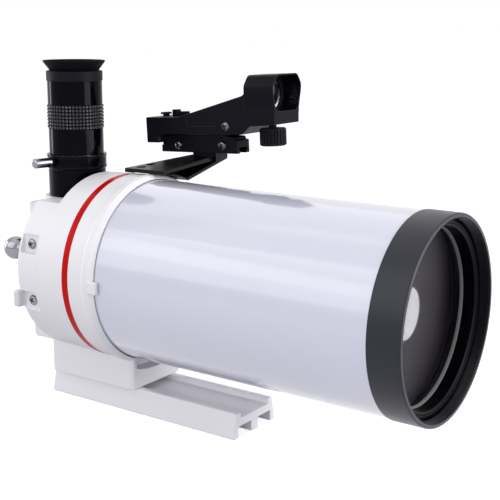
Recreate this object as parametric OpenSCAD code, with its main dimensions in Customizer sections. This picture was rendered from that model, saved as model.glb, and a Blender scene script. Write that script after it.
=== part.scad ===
// Short mirror-lens telescope on a dovetail bar, with a top eyepiece and an offset dot finder.
// X runs forward along the light path, Z is up and Y = 0 is the symmetry plane of the tube.
// The origin lies under the middle of the bar. Sizes are millimetres.

/* [Optical tube] */
// Height of the optical axis over the underside of the bar
axis_h = 90; // [86:0.5:96]
// Outside diameter of the tube
tube_d = 114; // [112:0.5:118]
// Wall of the tube
tube_wall = 1.5; // [1:0.1:1.8]
// Tube seen between the rear cell and the front ring
tube_len = 180; // [150:1:230]
// Depth of the tube inside the rear cell
tube_seat = 14; // [10:0.5:14]

/* [Front ring] */
// Length of the black front ring
ring_len = 19.2; // [18:0.2:24]
// Step of the ring over the tube
ring_lip = 0.5; // [0.2:0.1:1.5]
// Wall of the ring around the lens
ring_wall = 3.3; // [3:0.1:4]
// Length of the ring inside the tube
spigot_len = 12; // [8:0.5:16]
// Bevel at the mouth of the ring
rim_bevel = 0.9; // [0.4:0.1:1.2]
// Pitch of the fine thread inside the mouth
thread_pitch = 0.9; // [0.6:0.1:1.2]
// Depth of the fine thread
thread_depth = 0.4; // [0.2:0.05:0.6]
// Turns of thread shown
thread_turns = 4; // [2:1:5]

/* [Corrector] */
// Clear opening of the telescope
aperture_d = 100; // [94:0.5:100]
// Thickness of the lens
lens_t = 6.5; // [5:0.1:8]
// Depth of the hollow front face
lens_sag = 5.5; // [3:0.1:6]
// Front flat of the lens behind the mouth of the ring
lens_setback = 16.2; // [15:0.1:18]
// Length of the retainer in front of the lens
retainer_len = 10.3; // [6:0.1:10.5]
// Diameter of the mirrored spot behind the lens
spot_d = 29.4; // [24:0.2:34]
// Thickness of the spot
spot_t = 0.9; // [0.6:0.1:1.5]
// Length of the shade tube around the spot
shade_len = 22; // [12:1:40]
// Wall of the shade tube
shade_wall = 0.8; // [0.6:0.1:1.4]

/* [Rear cell] */
// Wall of the cell over the tube
cell_wall = 1.4; // [1.2:0.1:2]
// Gap between the eyepiece holder and the full round collar
collar_gap = 1.9; // [1:0.1:3]
// Length of the drum behind the front edge
drum_len = 66; // [64:0.5:70]
// Drum radius under the collar radius
drum_inset = 0.3; // [0.1:0.1:0.8]
// Height of the rim crest over the collar
rim_lip = 1.4; // [0.6:0.1:2]
// Rim crest behind the front edge
rim_len = 6; // [5:0.5:8]
// Flare behind the crest
flare_len = 7; // [5:0.5:8]
// Gap between the rim and the tube
lip_gap = 0.9; // [0.5:0.1:1]
// Depth of that gap
lip_depth = 2.6; // [1:0.1:4]
// Flat top behind the collar, over the axis
platform_z = 38; // [37:0.5:40]
// Half width of the mirror box
box_half = 22.5; // [22:0.25:24]
// Back of the mirror box behind the front edge
box_len = 87; // [86:0.5:90]
// Underside of the mirror box, under the axis
box_drop = 54; // [53:0.5:55]
// Wall of the mirror box
shell = 3.5; // [3:0.1:4]
// Radius of the boss under the eyepiece holder
boss_r = 21.5; // [20.5:0.1:22]
// Height of that boss
boss_h = 4.2; // [3:0.1:6]
// Thickness of the back cover
cover_t = 3; // [2.5:0.1:4]
// Corner rounding of the back cover
cover_round = 2.8; // [1:0.1:4]
// Red band behind the front edge
band_x = 26.1; // [25:0.1:27]
// Width of the red band
band_w = 4.1; // [3:0.1:5]
// Depth of the red band in the cell
band_depth = 0.8; // [0.5:0.1:0.9]
// Height of the small tab on the rim
tab_h = 7.6; // [5:0.2:9]
// Reach of the tab in front of the rim
tab_reach = 2.4; // [1:0.2:4]
// Thickness of the tab
tab_t = 2.9; // [2:0.1:3.2]

/* [Foot and bar] */
// Half width of the foot
foot_half = 23; // [22.5:0.1:25]
// Back of the foot behind the front edge
foot_len = 73.5; // [72:0.5:74.5]
// Depth of the open pocket over the front ledge
pocket_len = 12; // [8:1:13]
// Ledge of the foot under the axis
ledge_drop = 59; // [58.5:0.1:61]
// Length of the dovetail bar
bar_len = 150; // [149:1:180]
// Height of the bar
bar_h = 15.6; // [14.5:0.1:16]
// Width of the bar underneath
bar_base = 44; // [43:0.1:45]
// Width of the bar on top
bar_top = 37.4; // [36:0.1:39]
// Width of the channel in the top
channel_w = 29; // [27:0.5:31]
// Depth of the channel
channel_d = 3.5; // [2:0.1:4]
// Depth of the hollows underneath
hollow_d = 7; // [5:0.1:7]
// Thickness of the outer legs
leg_t = 5; // [4:0.1:6]
// Width of the middle rib
rib_w = 7; // [6:0.1:8]
// Radius of the quarter-inch tripod thread
tripod_r = 3.175; // [3.175:0.001:3.175]
// Depth of the tripod thread
tripod_depth = 9; // [8:0.5:10]
// Tripod thread in front of the bar's middle
tripod_x = 32; // [24:1:40]
// Shaft radius of the bar screws
bar_screw_r = 2.5; // [2:0.1:3]

/* [Eyepiece] */
// Eyepiece axis in front of the back of the mirror box
eye_room = 19.7; // [19.6:0.1:20.5]
// Radius of the inch-and-a-quarter barrel
barrel_r = 15.875; // [15.875:0.001:15.875]
// Radius of the holder tube
holder_r = 18.6; // [18.2:0.1:19.4]
// Bottom of the holder collar over the axis
holder_collar_z = 60.6; // [58:0.2:62]
// Top of the holder collar over the axis
holder_top_z = 69.3; // [68:0.1:72]
// Radius of the holder collar
holder_collar_r = 19.4; // [19:0.1:21]
// Length of the barrel inside the holder
barrel_len = 29; // [24:0.5:30]
// Radius of the eyepiece body
body_r = 17.6; // [17:0.1:18]
// Height of the eyepiece body
body_h = 46.9; // [44:0.1:50]
// Foot of the grip over the foot of the body
grip_z = 16.5; // [14:0.1:18]
// Height of the grip
grip_h = 15.3; // [12:0.1:17]
// Rows of bumps on the grip
grip_rows = 7; // [5:1:9]
// Height of the bumps
bump_h = 0.55; // [0.3:0.05:0.7]
// Height of the rubber cap ring
cap_h = 6.3; // [5:0.1:8]
// Radius of the rubber cap ring
cap_r = 18; // [17.8:0.1:19]
// Height of the rubber eyecup
cup_h = 6.6; // [5:0.1:9]
// Foot radius of the eyecup
cup_neck_r = 15.6; // [15:0.1:16.5]
// Mouth radius of the eyecup
cup_mouth_r = 20; // [18:0.1:22]
// Wall of the eyecup
cup_wall = 1.6; // [1.2:0.1:2]
// Radius of the eye lens
eye_lens_r = 9; // [7:0.1:10]
// Radius of the field lens
field_lens_r = 12; // [10:0.1:13]
// Direction of the thumbscrew from X
thumb_turn = 260; // [240:1:280]
// Height of the thumbscrew over the axis
thumb_z = 65; // [64:0.1:66]
// Radius of the thumbscrew head
thumb_r = 3.2; // [2.8:0.1:3.6]
// Length of the thumbscrew head
thumb_len = 13; // [10:0.5:16]
// Radius of the thumbscrew shaft
thumb_shaft_r = 2; // [1.5:0.1:2.2]

/* [Focuser] */
// Focus axis in from the outside of the tube
focus_in = 13; // [12.5:0.1:14]
// Focus axis over the tube axis
focus_z = 11.7; // [10:0.1:12]
// Radius of the focus shaft
focus_r = 3; // [2.5:0.1:3.2]
// Radius of the knob
knob_r = 7.4; // [7:0.1:8.5]
// Middle of the knob behind the drum
knob_reach = 18; // [16:0.5:22]
// Radius of the bushing
bushing_r = 6; // [5:0.1:6]
// Travel of the main mirror each way
focus_travel = 3.5; // [2:0.1:3.5]
// Thickness of the baffle plate behind the main mirror
plate_t = 3; // [2:0.1:4]
// Length of the focus nut behind the mirror cell
nut_len = 10; // [8:0.5:12]
// Room behind the focus nut at the end of its travel
nut_room = 1.5; // [1:0.1:3]
// Radius of the main mirror
mirror_r = 52; // [50:0.5:52.5]
// Thickness of the main mirror at its edge
mirror_t = 14; // [12:0.5:14]
// Depth of the hollow face of the main mirror
mirror_sag = 3; // [2:0.1:4]
// Outside radius of the light baffle
baffle_r = 13.5; // [13:0.1:14]
// Wall of the light baffle
baffle_wall = 1.2; // [1:0.1:1.5]
// Length of the light baffle in front of the cell
baffle_reach = 85; // [60:1:100]

/* [Flip mirror] */
// Half width of the flip mirror
flip_half = 13; // [12:0.1:13]
// Thickness of the flip mirror
flip_t = 3; // [2.5:0.1:3.5]
// Pivot of the flip mirror in front of the back cover
pivot_room = 4; // [3.9:0.1:5]
// Clearance in front of the flip mirror when it lies flat
flip_clear = 3; // [1:0.1:5]
// Lever axis under the tube axis
lever_drop = 22.5; // [22:0.1:23.5]
// Throw of both cranks
crank_r = 7; // [6.5:0.1:7.5]
// Radius of the pivots
pivot_r = 2; // [1.6:0.1:2]
// Radius of the crank pins
crank_pin_r = 1.5; // [1.2:0.1:1.6]
// Outer end of the lever from the middle
lever_y = 41; // [38:0.5:44]
// Height of the lever paddle
paddle_h = 11; // [9:0.5:12]
// Width of the lever paddle
paddle_w = 5.4; // [5:0.1:6]
// Radius of the rear port thread
port_r = 21; // [20:0.1:21.2]
// Length of the rear port
port_len = 6; // [5:0.5:10]

/* [Finder] */
// Finder to the side of the tube axis
finder_y = 54.5; // [54:0.1:56]
// Underside of the finder's clamp over the bracket
finder_lift = 4.21; // [4:0.01:5]
// Nose-up tilt of the finder
finder_pitch = 3.2; // [3:0.1:3.4]
// Back edge of the bracket behind the cell's front
bracket_back = 24.4; // [23:0.1:24.5]
// Front edge of the bracket before the cell's front
bracket_front = 5.2; // [4:0.1:6]
// Near edge of the bracket
bracket_near = 1.5; // [1:0.1:2]
// Far end of the bracket
bracket_far = 68; // [67:0.1:69]
// Top of the bracket at its near edge, over the cell rim
bracket_top = 2.4; // [2.2:0.1:3]
// Rise of the bracket top to its far end
bracket_rise = 4; // [3.5:0.1:4.5]
// Wall of the bracket
bracket_wall = 2.2; // [1.8:0.1:2.4]
// Back end of the finder clamp
clamp_back = 34.3; // [34:0.1:36]
// Front end of the finder clamp
clamp_front = 26; // [24:0.1:28]
// Half width of the clamp
clamp_half = 7; // [6.8:0.1:7.2]
// Height of the clamp
clamp_h = 10.4; // [10:0.1:10.5]
// Half width of the rail at its top
rail_half = 4.4; // [4:0.1:4.6]
// Half width of the rail at its foot
rail_neck = 3.2; // [3:0.1:3.4]
// Height of the rail
rail_h = 3.4; // [3:0.1:3.6]
// Half width of the finder body
finder_half = 14; // [13.5:0.1:14.5]
// Wall of the finder body
finder_wall = 2; // [1.6:0.1:2.4]
// Back end of the finder body
finder_back = 41; // [40.5:0.1:44]
// Front end of the hood
hood_front = 61.5; // [60:0.1:64]
// Back end of the hood
hood_back = 40.5; // [40:0.1:42]
// Half width of the hood
hood_half = 16.2; // [15.6:0.1:17]
// Top of the hood over the clamp's foot
hood_top = 50; // [49:0.1:52]
// Sill of the hood window
sill = 26.5; // [26:0.1:28]
// Wall of the hood
hood_wall = 2; // [1.6:0.1:2.2]
// Pivot of the finder tilt behind the finder's middle
tilt_back = 31; // [30.8:0.1:31.2]
// Pivot of the finder tilt over the clamp's foot
tilt_z = 9; // [8.8:0.1:9.2]
// Radius of the tilt pin
tilt_r = 1.5; // [1.2:0.1:1.6]
// Radius of the finder knob
dial_r = 8.5; // [8:0.1:9]
// Height of the finder knob
dial_h = 11.2; // [10:0.1:12]
// Grooves around the finder knob
dial_teeth = 30; // [20:1:36]
// Finder knob before the finder's middle
dial_x = 51.3; // [51:0.1:52]
// Radius of the finder glass
glass_r = 9.8; // [8.5:0.1:9.9]

/* [Fits] */
// Radial clearance of turning and sliding fits
run_gap = 0.05; // [0.02:0.01:0.08]
// Radial clearance of fixed seats
seat_gap = 0.1; // [0.05:0.01:0.2]
// Clearance beside parts that pass each other
pass_gap = 0.4; // [0.3:0.05:0.6]
// Head radius of the small cross-head screws
screw_r = 3.3; // [3:0.1:3.5]
// Head thickness of those screws
screw_t = 1.8; // [1.5:0.1:2]
// Shaft radius of those screws
screw_shaft = 1.5; // [1.2:0.1:1.6]

/* [Hidden] */
$fn = 96;

cut = 1;
arc_steps = 16;
white = [0.9, 0.9, 0.91];
black = [0.09, 0.09, 0.1];
steel = [0.72, 0.72, 0.74];
glass = [0.55, 0.6, 0.62, 0.4];

tube_r = tube_d / 2;
tube_bore = tube_r - tube_wall;
ring_x = tube_len + ring_len;
ring_r = tube_r + ring_lip;
ring_bore = ring_r - ring_wall;
mouth_r = ring_bore + rim_bevel;
aperture_r = aperture_d / 2;
lens_x = ring_x - lens_setback;
lens_r = ring_bore - pass_gap;
lens_vertex = lens_x - lens_sag;
lens_curve = (aperture_r * aperture_r + lens_sag * lens_sag) / (2 * lens_sag);
thread_start = ring_x - rim_bevel - thread_turns * thread_pitch;
spot_x = lens_vertex - lens_t;

cell_r = tube_r + cell_wall;
rim_r = cell_r + rim_lip;
lip_wall = 0.8;
nose_r = tube_r + lip_gap + lip_wall;
drum_r = cell_r - drum_inset;
eye_x = box_len - eye_room;
collar_len = eye_x - holder_collar_r - collar_gap;
chamber_step = 2;
chamber_r = tube_bore - chamber_step;
flank_wall = 9;
side_chamber_r = drum_r - flank_wall;
collar_floor = 4;
chamber_x = collar_len - collar_floor;
foot_z = bar_h - axis_h;
box_inner = box_half - shell;
roof_z = platform_z - shell;
pocket_depth = 6.1;
pocket_floor = drum_r - pocket_depth;
pocket_back = 2.8;
pocket_w = 13.7;
pocket_x = [-drum_len + pocket_back, -drum_len + pocket_back + pocket_w];
low_pocket_w = 15;
low_pocket_x = [-drum_len - cut, -drum_len + low_pocket_w];
pocket_z = [13.2, 25];
low_pocket_z = [-24, -11];
flank_in = [9, 8];
flank_z = [18.6, -17.6];
flank_screw_len = 4;
cover_post_r = 3.6;
cover_post_in = 3;
cover_post_len = 13;
cover_screw_len = 10;

bar_screw_in = [18.5, 57.5];
bar_screw_x = [for (d = bar_screw_in) -foot_len + d];
bar_screw_depth = 10;
boss_pad_r = 7;
bar_head_r = bar_screw_r + 2;
bar_head_h = 3;

holder_bore = barrel_r + run_gap;
holder_spigot = holder_r - 0.6;
body_z = holder_top_z;
barrel_step = 0.8;
barrel_neck = 4;
body_recess = 1;
body_floor = 9;
lens_seat = 1;
lens_block = 5;
lens_cover = 3;
cap_z = body_z + body_h;
cup_z = cap_z + cap_h;
thumb_start = barrel_r + pass_gap;
thumb_head = holder_collar_r + 5.6;

focus_y = focus_in - tube_r;
knob_x = -drum_len - knob_reach;
knob_dome = 123;
knob_seat = 2;
neck_r = focus_r + 1.6;
neck_len = 5;
carrier_x = -chamber_x + plate_t + nut_room + focus_travel + nut_len;
carrier_t = 4;
mirror_x = carrier_x + carrier_t;
nut_floor = 1;
shaft_end = mirror_x - 2 * nut_floor - focus_travel;
flange_t = 2;
nut_r = 6;
sleeve_wall = 3.5;
sleeve_r = baffle_r + sleeve_wall;
sleeve_reach = 8;
sleeve_end = mirror_x + mirror_t + sleeve_reach;
retainer_t = 4;
mirror_curve = (mirror_r * mirror_r + mirror_sag * mirror_sag) / (2 * mirror_sag);
mirror_vertex = mirror_x + mirror_t - mirror_sag;

flip_start = 3.6;
frame_wall = 1.4;
frame_back = 1.6;
flip_x = -box_len + pivot_room;
flip_z = -flip_x - eye_x;
flip_len = -flip_x - chamber_x - flip_start - frame_wall - flip_clear;
crank_turn = -60;
crank_x = crank_r * cos(crank_turn);
crank_z = crank_r * sin(crank_turn);
arm_y = box_inner - 0.3;
arm_t = 1.8;
link_y = arm_y - arm_t - pass_gap;
link_t = 1.5;
link_r = crank_pin_r + 1.6;
paddle_len = 14;

bracket_z = rim_r + bracket_top;
gusset_y = 25;
gusset_z = sqrt(rim_r * rim_r - gusset_y * gusset_y);
bracket_tip = 2.8;
root_t = bracket_roof(gusset_y) - gusset_z;
apex_y = bracket_far - (2 * bracket_wall - bracket_tip) * (bracket_far - gusset_y) / (root_t - bracket_tip);
saddle_low = 0.8 * rim_r;
bracket_seat = bracket_z - bracket_top + 0.6;
finder_z = bracket_roof(finder_y) + finder_lift;
rail_drop = finder_lift + bracket_wall / 2;
pad_x = rim_len + flare_len + 1;
bracket_screw_y = [7, 16];
bracket_screw_x = -pad_x - 5;
deck = 12.3;
heel = 6.8;
body_shoulder = 23.6;
body_neck = 36.5;
slope_start = -13.8;
belly_x = [37.5, 43.2];
belly_z = 17.3;
light_half = 6;
under_room = [-22, 4];
hinge_room = [-24, 1.6];
clamp_screw_x = [-19.7, 16.3];
clamp_screw_z = 4.8;
side_screw_x = 24.7;
side_screw_z = 17.6;
small_head = 2.9;
button_x = -34.7;
button_r = 3;
button_stem = button_r - 0.8;
emitter_x = [-29.5, -23.5, -15];
hood_lean = 5.5;
glass_z = (sill + hood_top - hood_wall) / 2;
dial_shaft = 2.5;
dial_top = belly_z - 1.4;

// Depth of a shallow spherical face at a radius
function dish(r, curve) = curve - sqrt(curve * curve - r * r);

// Points along such a face from one radius to another, its lowest point at x
function dish_points(x, curve, r0, r1) = [for (i = [0 : arc_steps])
  let (r = r0 + (r1 - r0) * i / arc_steps) [r, x + dish(r, curve)]];

// Places children on the tube axis
module on_axis() {
  translate([0, 0, axis_h]) children();
}

// Solid of revolution around the tube axis from [radius, x] points
module turned(points) {
  on_axis() rotate([0, 90, 0]) rotate_extrude() polygon(points);
}

// Plain ring around the tube axis
module ring(r0, r1, x0, x1) {
  turned([[r0, x0], [r1, x0], [r1, x1], [r0, x1]]);
}

// Rod along X, beside the tube axis
module rod(x0, x1, r, y = 0, z = 0) {
  translate([x0, y, z]) rotate([0, 90, 0]) cylinder(r = r, h = x1 - x0);
}

// Rod along Y
module cross_rod(y0, y1, r, x, z) {
  translate([x, y0, z]) rotate([-90, 0, 0]) cylinder(r = r, h = y1 - y0);
}

// Upright rod
module post(z0, z1, r, x, y = 0) {
  translate([x, y, z0]) cylinder(r = r, h = z1 - z0);
}

// Box from its limits
module block(x, y, z) {
  translate([x[0], y[0], z[0]]) cube([x[1] - x[0], y[1] - y[0], z[1] - z[0]]);
}

// Bar along X from [y, z] points
module bar_along(x0, x1, points) {
  translate([x0, 0, 0]) rotate([90, 0, 90]) linear_extrude(x1 - x0) polygon(points);
}

// Slab across Y from [x, z] points
module slab_across(half, points) {
  rotate([90, 0, 0]) linear_extrude(2 * half, center = true) polygon(points);
}

// Cross slot in a screw head that faces +Z
module cross_slot(r) {
  for (turn = [0, 90])
    rotate([0, 0, turn]) cube([1.3 * r, 0.3 * r, 1.2], center = true);
}

// Cross-head screw: seat at z = 0, head up, shaft down
module cross_screw(head_r, head_t, shaft_r, shaft_len) {
  difference() {
    union() {
      cylinder(r = head_r, h = head_t);
      translate([0, 0, -shaft_len]) cylinder(r = shaft_r, h = shaft_len + 0.1);
    }
    translate([0, 0, head_t]) cross_slot(head_r);
  }
}

// Both sides of the symmetry plane
module both_sides() {
  children();
  mirror([0, 1, 0]) children();
}

module main_tube() {
  color(white) ring(tube_bore, tube_r, -tube_seat, tube_len);
}

module front_ring() {
  threads = [for (i = [0 : thread_turns - 1]) each [
    [ring_bore, ring_x - rim_bevel - i * thread_pitch],
    [ring_bore + thread_depth, ring_x - rim_bevel - (i + 0.5) * thread_pitch]]];
  color(black) turned(concat(
    [[ring_r, tube_len], [ring_r, ring_x - rim_bevel], [ring_r - rim_bevel, ring_x], [mouth_r, ring_x]],
    threads,
    [[ring_bore, thread_start], [ring_bore, lens_x - lens_t], [aperture_r, lens_x - lens_t],
     [aperture_r, tube_len - spigot_len], [tube_bore - seat_gap, tube_len - spigot_len],
     [tube_bore - seat_gap, tube_len]]));
}

module corrector_lens() {
  color(glass) turned(concat(
    dish_points(lens_vertex, lens_curve, 0, aperture_r),
    [[lens_r, lens_x], [lens_r, lens_x - lens_t]],
    dish_points(spot_x, lens_curve, aperture_r, 0)));
}

module corrector_retainer() {
  color(black) turned([[aperture_r - 0.3, lens_x], [lens_r, lens_x], [lens_r, lens_x + retainer_len - 0.6],
    [lens_r - 0.6, lens_x + retainer_len], [aperture_r - 0.3, lens_x + retainer_len]]);
}

module secondary_spot() {
  color(steel) turned(concat([[0, spot_x - spot_t], [spot_d / 2, spot_x - spot_t]],
    dish_points(spot_x - run_gap, lens_curve, spot_d / 2, 0)));
}

module spot_shade() {
  inner = spot_d / 2 + pass_gap;
  outer = inner + shade_wall;
  color(black) turned([[inner, spot_x - shade_len], [outer, spot_x - shade_len],
    [outer, spot_x + dish(outer, lens_curve) - run_gap],
    [inner, spot_x + dish(inner, lens_curve) - run_gap]]);
}

// Outline of the round collar, grown by a gap
function collar_outline(gap) = [[0, -collar_len], [cell_r + gap, -collar_len],
  [cell_r + gap, -rim_len - flare_len], [rim_r + gap, -rim_len], [rim_r + gap, -rim_len + 1.5],
  [nose_r + gap, 0], [0, 0]];

// Red band, open where the foot covers it
module band_shape(gap) {
  difference() {
    ring(cell_r - band_depth - gap, cell_r + 0.1, -band_x - gap, -band_x + band_w + gap);
    on_axis() block([-collar_len, 0], [-foot_half - 0.3 + gap, foot_half + 0.3 - gap],
      [-2 * cell_r, -cell_r / 2]);
  }
}

// Round drum behind the collar, cut flat on top
module drum() {
  difference() {
    rod(-drum_len, -collar_len + cut, drum_r);
    block([-2 * drum_len, 0], [-2 * drum_r, 2 * drum_r], [platform_z, 2 * drum_r]);
  }
}

// Spaces beside the mirror box
module side_chamber() {
  intersection() {
    rod(-drum_len + shell, -chamber_x + 0.1, side_chamber_r);
    block([-drum_len, 0], [box_half, drum_r], [-drum_r, roof_z]);
  }
}

// Outer form of the rear cell
module cell_solid() {
  turned(collar_outline(0));
  on_axis() {
    drum();
    block([-box_len + seat_gap, -collar_len + cut], [-box_half, box_half], [-box_drop, platform_z]);
    block([-foot_len, 0], [-foot_half, foot_half], [foot_z, -cell_r + 10]);
    post(platform_z, platform_z + boss_h, boss_r, -eye_x);
    block([-rim_len + 2, tab_reach], [-tube_r - pass_gap - tab_t, -tube_r - pass_gap],
      [-tab_h / 2, tab_h / 2]);
  }
}

// Spaces for the tube, the mirrors and the foot pocket
module cell_hollows() {
  ring(0, tube_r + seat_gap, -tube_seat, cut);
  ring(tube_r - cut, tube_r + lip_gap, -lip_depth, cut);
  ring(0, chamber_r, -chamber_x, -tube_seat + 0.1);
  on_axis() {
    block([-box_len - cut, -chamber_x + 0.1], [-box_inner, box_inner], [-box_drop + shell, roof_z]);
    both_sides() side_chamber();
    block([-pocket_len, tab_reach], [-foot_half + shell, foot_half - shell], [-ledge_drop, -tube_r + 7]);
  }
}

// Holes and pockets for screws, pivots and the eyepiece
module cell_holes() {
  both_sides() {
    block(pocket_x, [pocket_floor, 2 * drum_r], pocket_z);
    block(low_pocket_x, [pocket_floor, 2 * drum_r], low_pocket_z);
    for (i = [0, 1])
      cross_rod(pocket_floor - flank_screw_len - cut, drum_r, screw_shaft + run_gap,
        -drum_len + flank_in[i], flank_z[i]);
    cross_rod(box_inner - cut, box_half - cut, pivot_r + run_gap, flip_x, flip_z);
  }
  post(roof_z - cut, platform_z + boss_h + cut, holder_spigot + seat_gap, -eye_x);
  rod(-drum_len - cut, -drum_len + shell + cut, bushing_r + run_gap, focus_y, focus_z);
  cross_rod(-box_half - cut, -box_inner + cut, pivot_r + run_gap, flip_x, -lever_drop);
  for (x = bar_screw_x)
    post(foot_z - cut, foot_z + bar_screw_depth + cut, bar_screw_r + run_gap, x);
  for (y = bracket_screw_y)
    post(chamber_r + lip_wall, cell_r, screw_shaft + run_gap, bracket_screw_x, y);
  at_cover_screws() rod(-box_len - cut, -box_len + cover_screw_len, screw_shaft + run_gap);
}

// Places children at the four screws of the back cover
module at_cover_screws() {
  for (side = [-1, 1], z = [-box_drop + shell + cover_post_in, roof_z - cover_post_in])
    translate([0, side * (box_inner - cover_post_in), z]) children();
}

module rear_cell() {
  color(white) difference() {
    union() {
      difference() {
        cell_solid();
        cell_hollows();
      }
      on_axis() at_cover_screws() rod(-box_len + seat_gap, -box_len + cover_post_len, cover_post_r);
    }
    band_shape(run_gap);
    on_axis() cell_holes();
  }
}

module red_band() {
  color([0.75, 0.04, 0.04]) band_shape(0);
}

module flank_screws() {
  color(steel) on_axis() both_sides()
    for (i = [0, 1])
      translate([-drum_len + flank_in[i], pocket_floor, flank_z[i]]) rotate([-90, 0, 0])
        cross_screw(screw_r, screw_t, screw_shaft, flank_screw_len);
}

// Top view of the back cover, its back corners rounded
module cover_outline() {
  back = -box_len - cover_t;
  translate([back, cover_round - box_half]) square([cover_t, 2 * (box_half - cover_round)]);
  for (side = [-1, 1])
    intersection() {
      translate([back + cover_round, side * (box_half - cover_round)]) circle(r = cover_round);
      translate([back, -box_half]) square([cover_t, 2 * box_half]);
    }
  translate([back + cover_round, -box_half]) square([cover_t - cover_round, 2 * box_half]);
}

module back_cover() {
  color(white) on_axis() difference() {
    translate([0, 0, -box_drop]) linear_extrude(platform_z + box_drop) cover_outline();
    rod(-box_len - cover_t - cut, -box_len + cut, port_r - 2 + seat_gap);
    at_cover_screws() rod(-box_len - cover_t - cut, -box_len + cut, screw_shaft + run_gap);
  }
}

module cover_screws() {
  color(steel) on_axis() at_cover_screws()
    translate([-box_len - cover_t, 0, 0]) rotate([0, -90, 0])
      cross_screw(screw_r, screw_t, screw_shaft, cover_screw_len);
}

module rear_port() {
  color(black) turned([[port_r - 4, -box_len], [port_r - 2, -box_len], [port_r - 2, -box_len - cover_t],
    [port_r, -box_len - cover_t], [port_r, -box_len - cover_t - port_len],
    [port_r - 4, -box_len - cover_t - port_len]]);
}

module port_cap() {
  back = -box_len - cover_t - port_len;
  color(black) turned([[0, back - 2.4], [port_r + 1.4, back - 2.4], [port_r + 2, back - 1.8],
    [port_r + 2, back + port_len - pass_gap], [port_r + run_gap, back + port_len - pass_gap],
    [port_r + run_gap, back], [0, back]]);
}

module baffle_plate() {
  color(black) on_axis() difference() {
    rod(-chamber_x, -chamber_x + plate_t, chamber_r - seat_gap);
    rod(-chamber_x - cut, -chamber_x + plate_t + cut, baffle_r + seat_gap);
    rod(-chamber_x - cut, -chamber_x + plate_t + cut, focus_r + pass_gap, focus_y, focus_z);
  }
}

module baffle_tube() {
  color(black) ring(baffle_r - baffle_wall, baffle_r, -chamber_x, baffle_reach);
}

module mirror_cell() {
  color(steel) on_axis() difference() {
    union() {
      rod(carrier_x, mirror_x, mirror_r + 0.4);
      rod(carrier_x, sleeve_end, sleeve_r);
      rod(carrier_x - nut_len, carrier_x + cut, nut_r, focus_y, focus_z);
    }
    rod(carrier_x - cut, sleeve_end + cut, baffle_r + run_gap);
    rod(carrier_x - nut_len - cut, mirror_x - nut_floor, focus_r + run_gap, focus_y, focus_z);
  }
}

module primary_mirror() {
  color(steel) turned(concat([[sleeve_r + seat_gap, mirror_x], [mirror_r, mirror_x]],
    dish_points(mirror_vertex, mirror_curve, mirror_r, sleeve_r + seat_gap)));
}

module mirror_retainer() {
  inner = sleeve_r + run_gap;
  outer = sleeve_r + sleeve_wall;
  color(black) turned([[inner, mirror_vertex + dish(inner, mirror_curve) + run_gap],
    [outer, mirror_vertex + dish(outer, mirror_curve) + run_gap],
    [outer, mirror_vertex + retainer_t], [inner, mirror_vertex + retainer_t]]);
}

module focus_bushing() {
  color(steel) on_axis() difference() {
    union() {
      rod(-drum_len, -drum_len + shell, bushing_r, focus_y, focus_z);
      rod(-drum_len - flange_t, -drum_len, bushing_r + 2, focus_y, focus_z);
    }
    rod(-drum_len - flange_t - cut, -drum_len + shell + cut, focus_r + run_gap, focus_y, focus_z);
  }
}

module focus_shaft() {
  color(steel) on_axis() rod(knob_x + knob_seat, shaft_end, focus_r, focus_y, focus_z);
}

module focus_knob() {
  dome = [for (i = [0 : arc_steps])
    let (a = knob_dome * i / arc_steps) [knob_r * sin(a), knob_x - knob_r * cos(a)]];
  face = dome[arc_steps][1];
  bore = focus_r + seat_gap;
  color(steel) translate([0, focus_y, focus_z]) turned(concat(dome,
    [[neck_r, face], [neck_r, face + neck_len], [bore, face + neck_len],
     [bore, knob_x + knob_seat - seat_gap], [0, knob_x + knob_seat - seat_gap]]));
}

// Flip mirror pieces are drawn with the pivot at the origin and the light turned upward
module at_flip() {
  on_axis() translate([flip_x, 0, flip_z]) rotate([0, 45, 0]) children();
}

module flip_frame() {
  side = flip_half + frame_wall;
  color(black) union() {
    at_flip() difference() {
      union() {
        block([0, flip_start + flip_len + frame_wall], [-side, side], [-flip_t - frame_back, 0]);
        cross_rod(-side, side, pivot_r + 1.2, 0, -1);
      }
      block([flip_start, flip_start + flip_len], [-flip_half, flip_half], [-flip_t, cut]);
    }
    on_axis() translate([flip_x, 0, flip_z]) {
      cross_rod(-box_half + cut + pass_gap, box_half - cut - pass_gap, pivot_r, 0, 0);
      crank();
    }
  }
}

// Crank arm beside the box wall with its pin pointing inward, around the origin
module crank() {
  cross_rod(-arm_y, -arm_y + arm_t, link_r, 0, 0);
  cross_rod(-arm_y, -arm_y + arm_t, link_r, crank_x, crank_z);
  rotate([0, -crank_turn, 0]) block([0, crank_r], [-arm_y, -arm_y + arm_t], [-crank_pin_r, crank_pin_r]);
  cross_rod(-arm_y + arm_t - 0.1, -link_y + link_t + 0.1, crank_pin_r, crank_x, crank_z);
}

module flip_mirror() {
  color(steel) at_flip()
    block([flip_start + seat_gap, flip_start + flip_len - seat_gap],
      [-flip_half + seat_gap, flip_half - seat_gap], [-flip_t, 0]);
}

module flip_lever() {
  color([0.6, 0.59, 0.65]) on_axis() translate([flip_x, 0, -lever_drop]) union() {
    cross_rod(-lever_y + paddle_len - cut, -arm_y + arm_t, pivot_r, 0, 0);
    crank();
    block([-paddle_w / 2, paddle_w / 2], [-lever_y, -lever_y + paddle_len], [-paddle_h / 2, paddle_h / 2]);
  }
}

module flip_link() {
  ends = [flip_z + crank_z, -lever_drop + crank_z];
  color(steel) on_axis() translate([flip_x + crank_x, -link_y, 0]) difference() {
    union() {
      for (z = ends)
        cross_rod(0, link_t, link_r, 0, z);
      block([-crank_pin_r, crank_pin_r], [0, link_t], [ends[1], ends[0]]);
    }
    for (z = ends)
      cross_rod(-cut, link_t + cut, crank_pin_r + run_gap, 0, z);
  }
}

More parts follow.
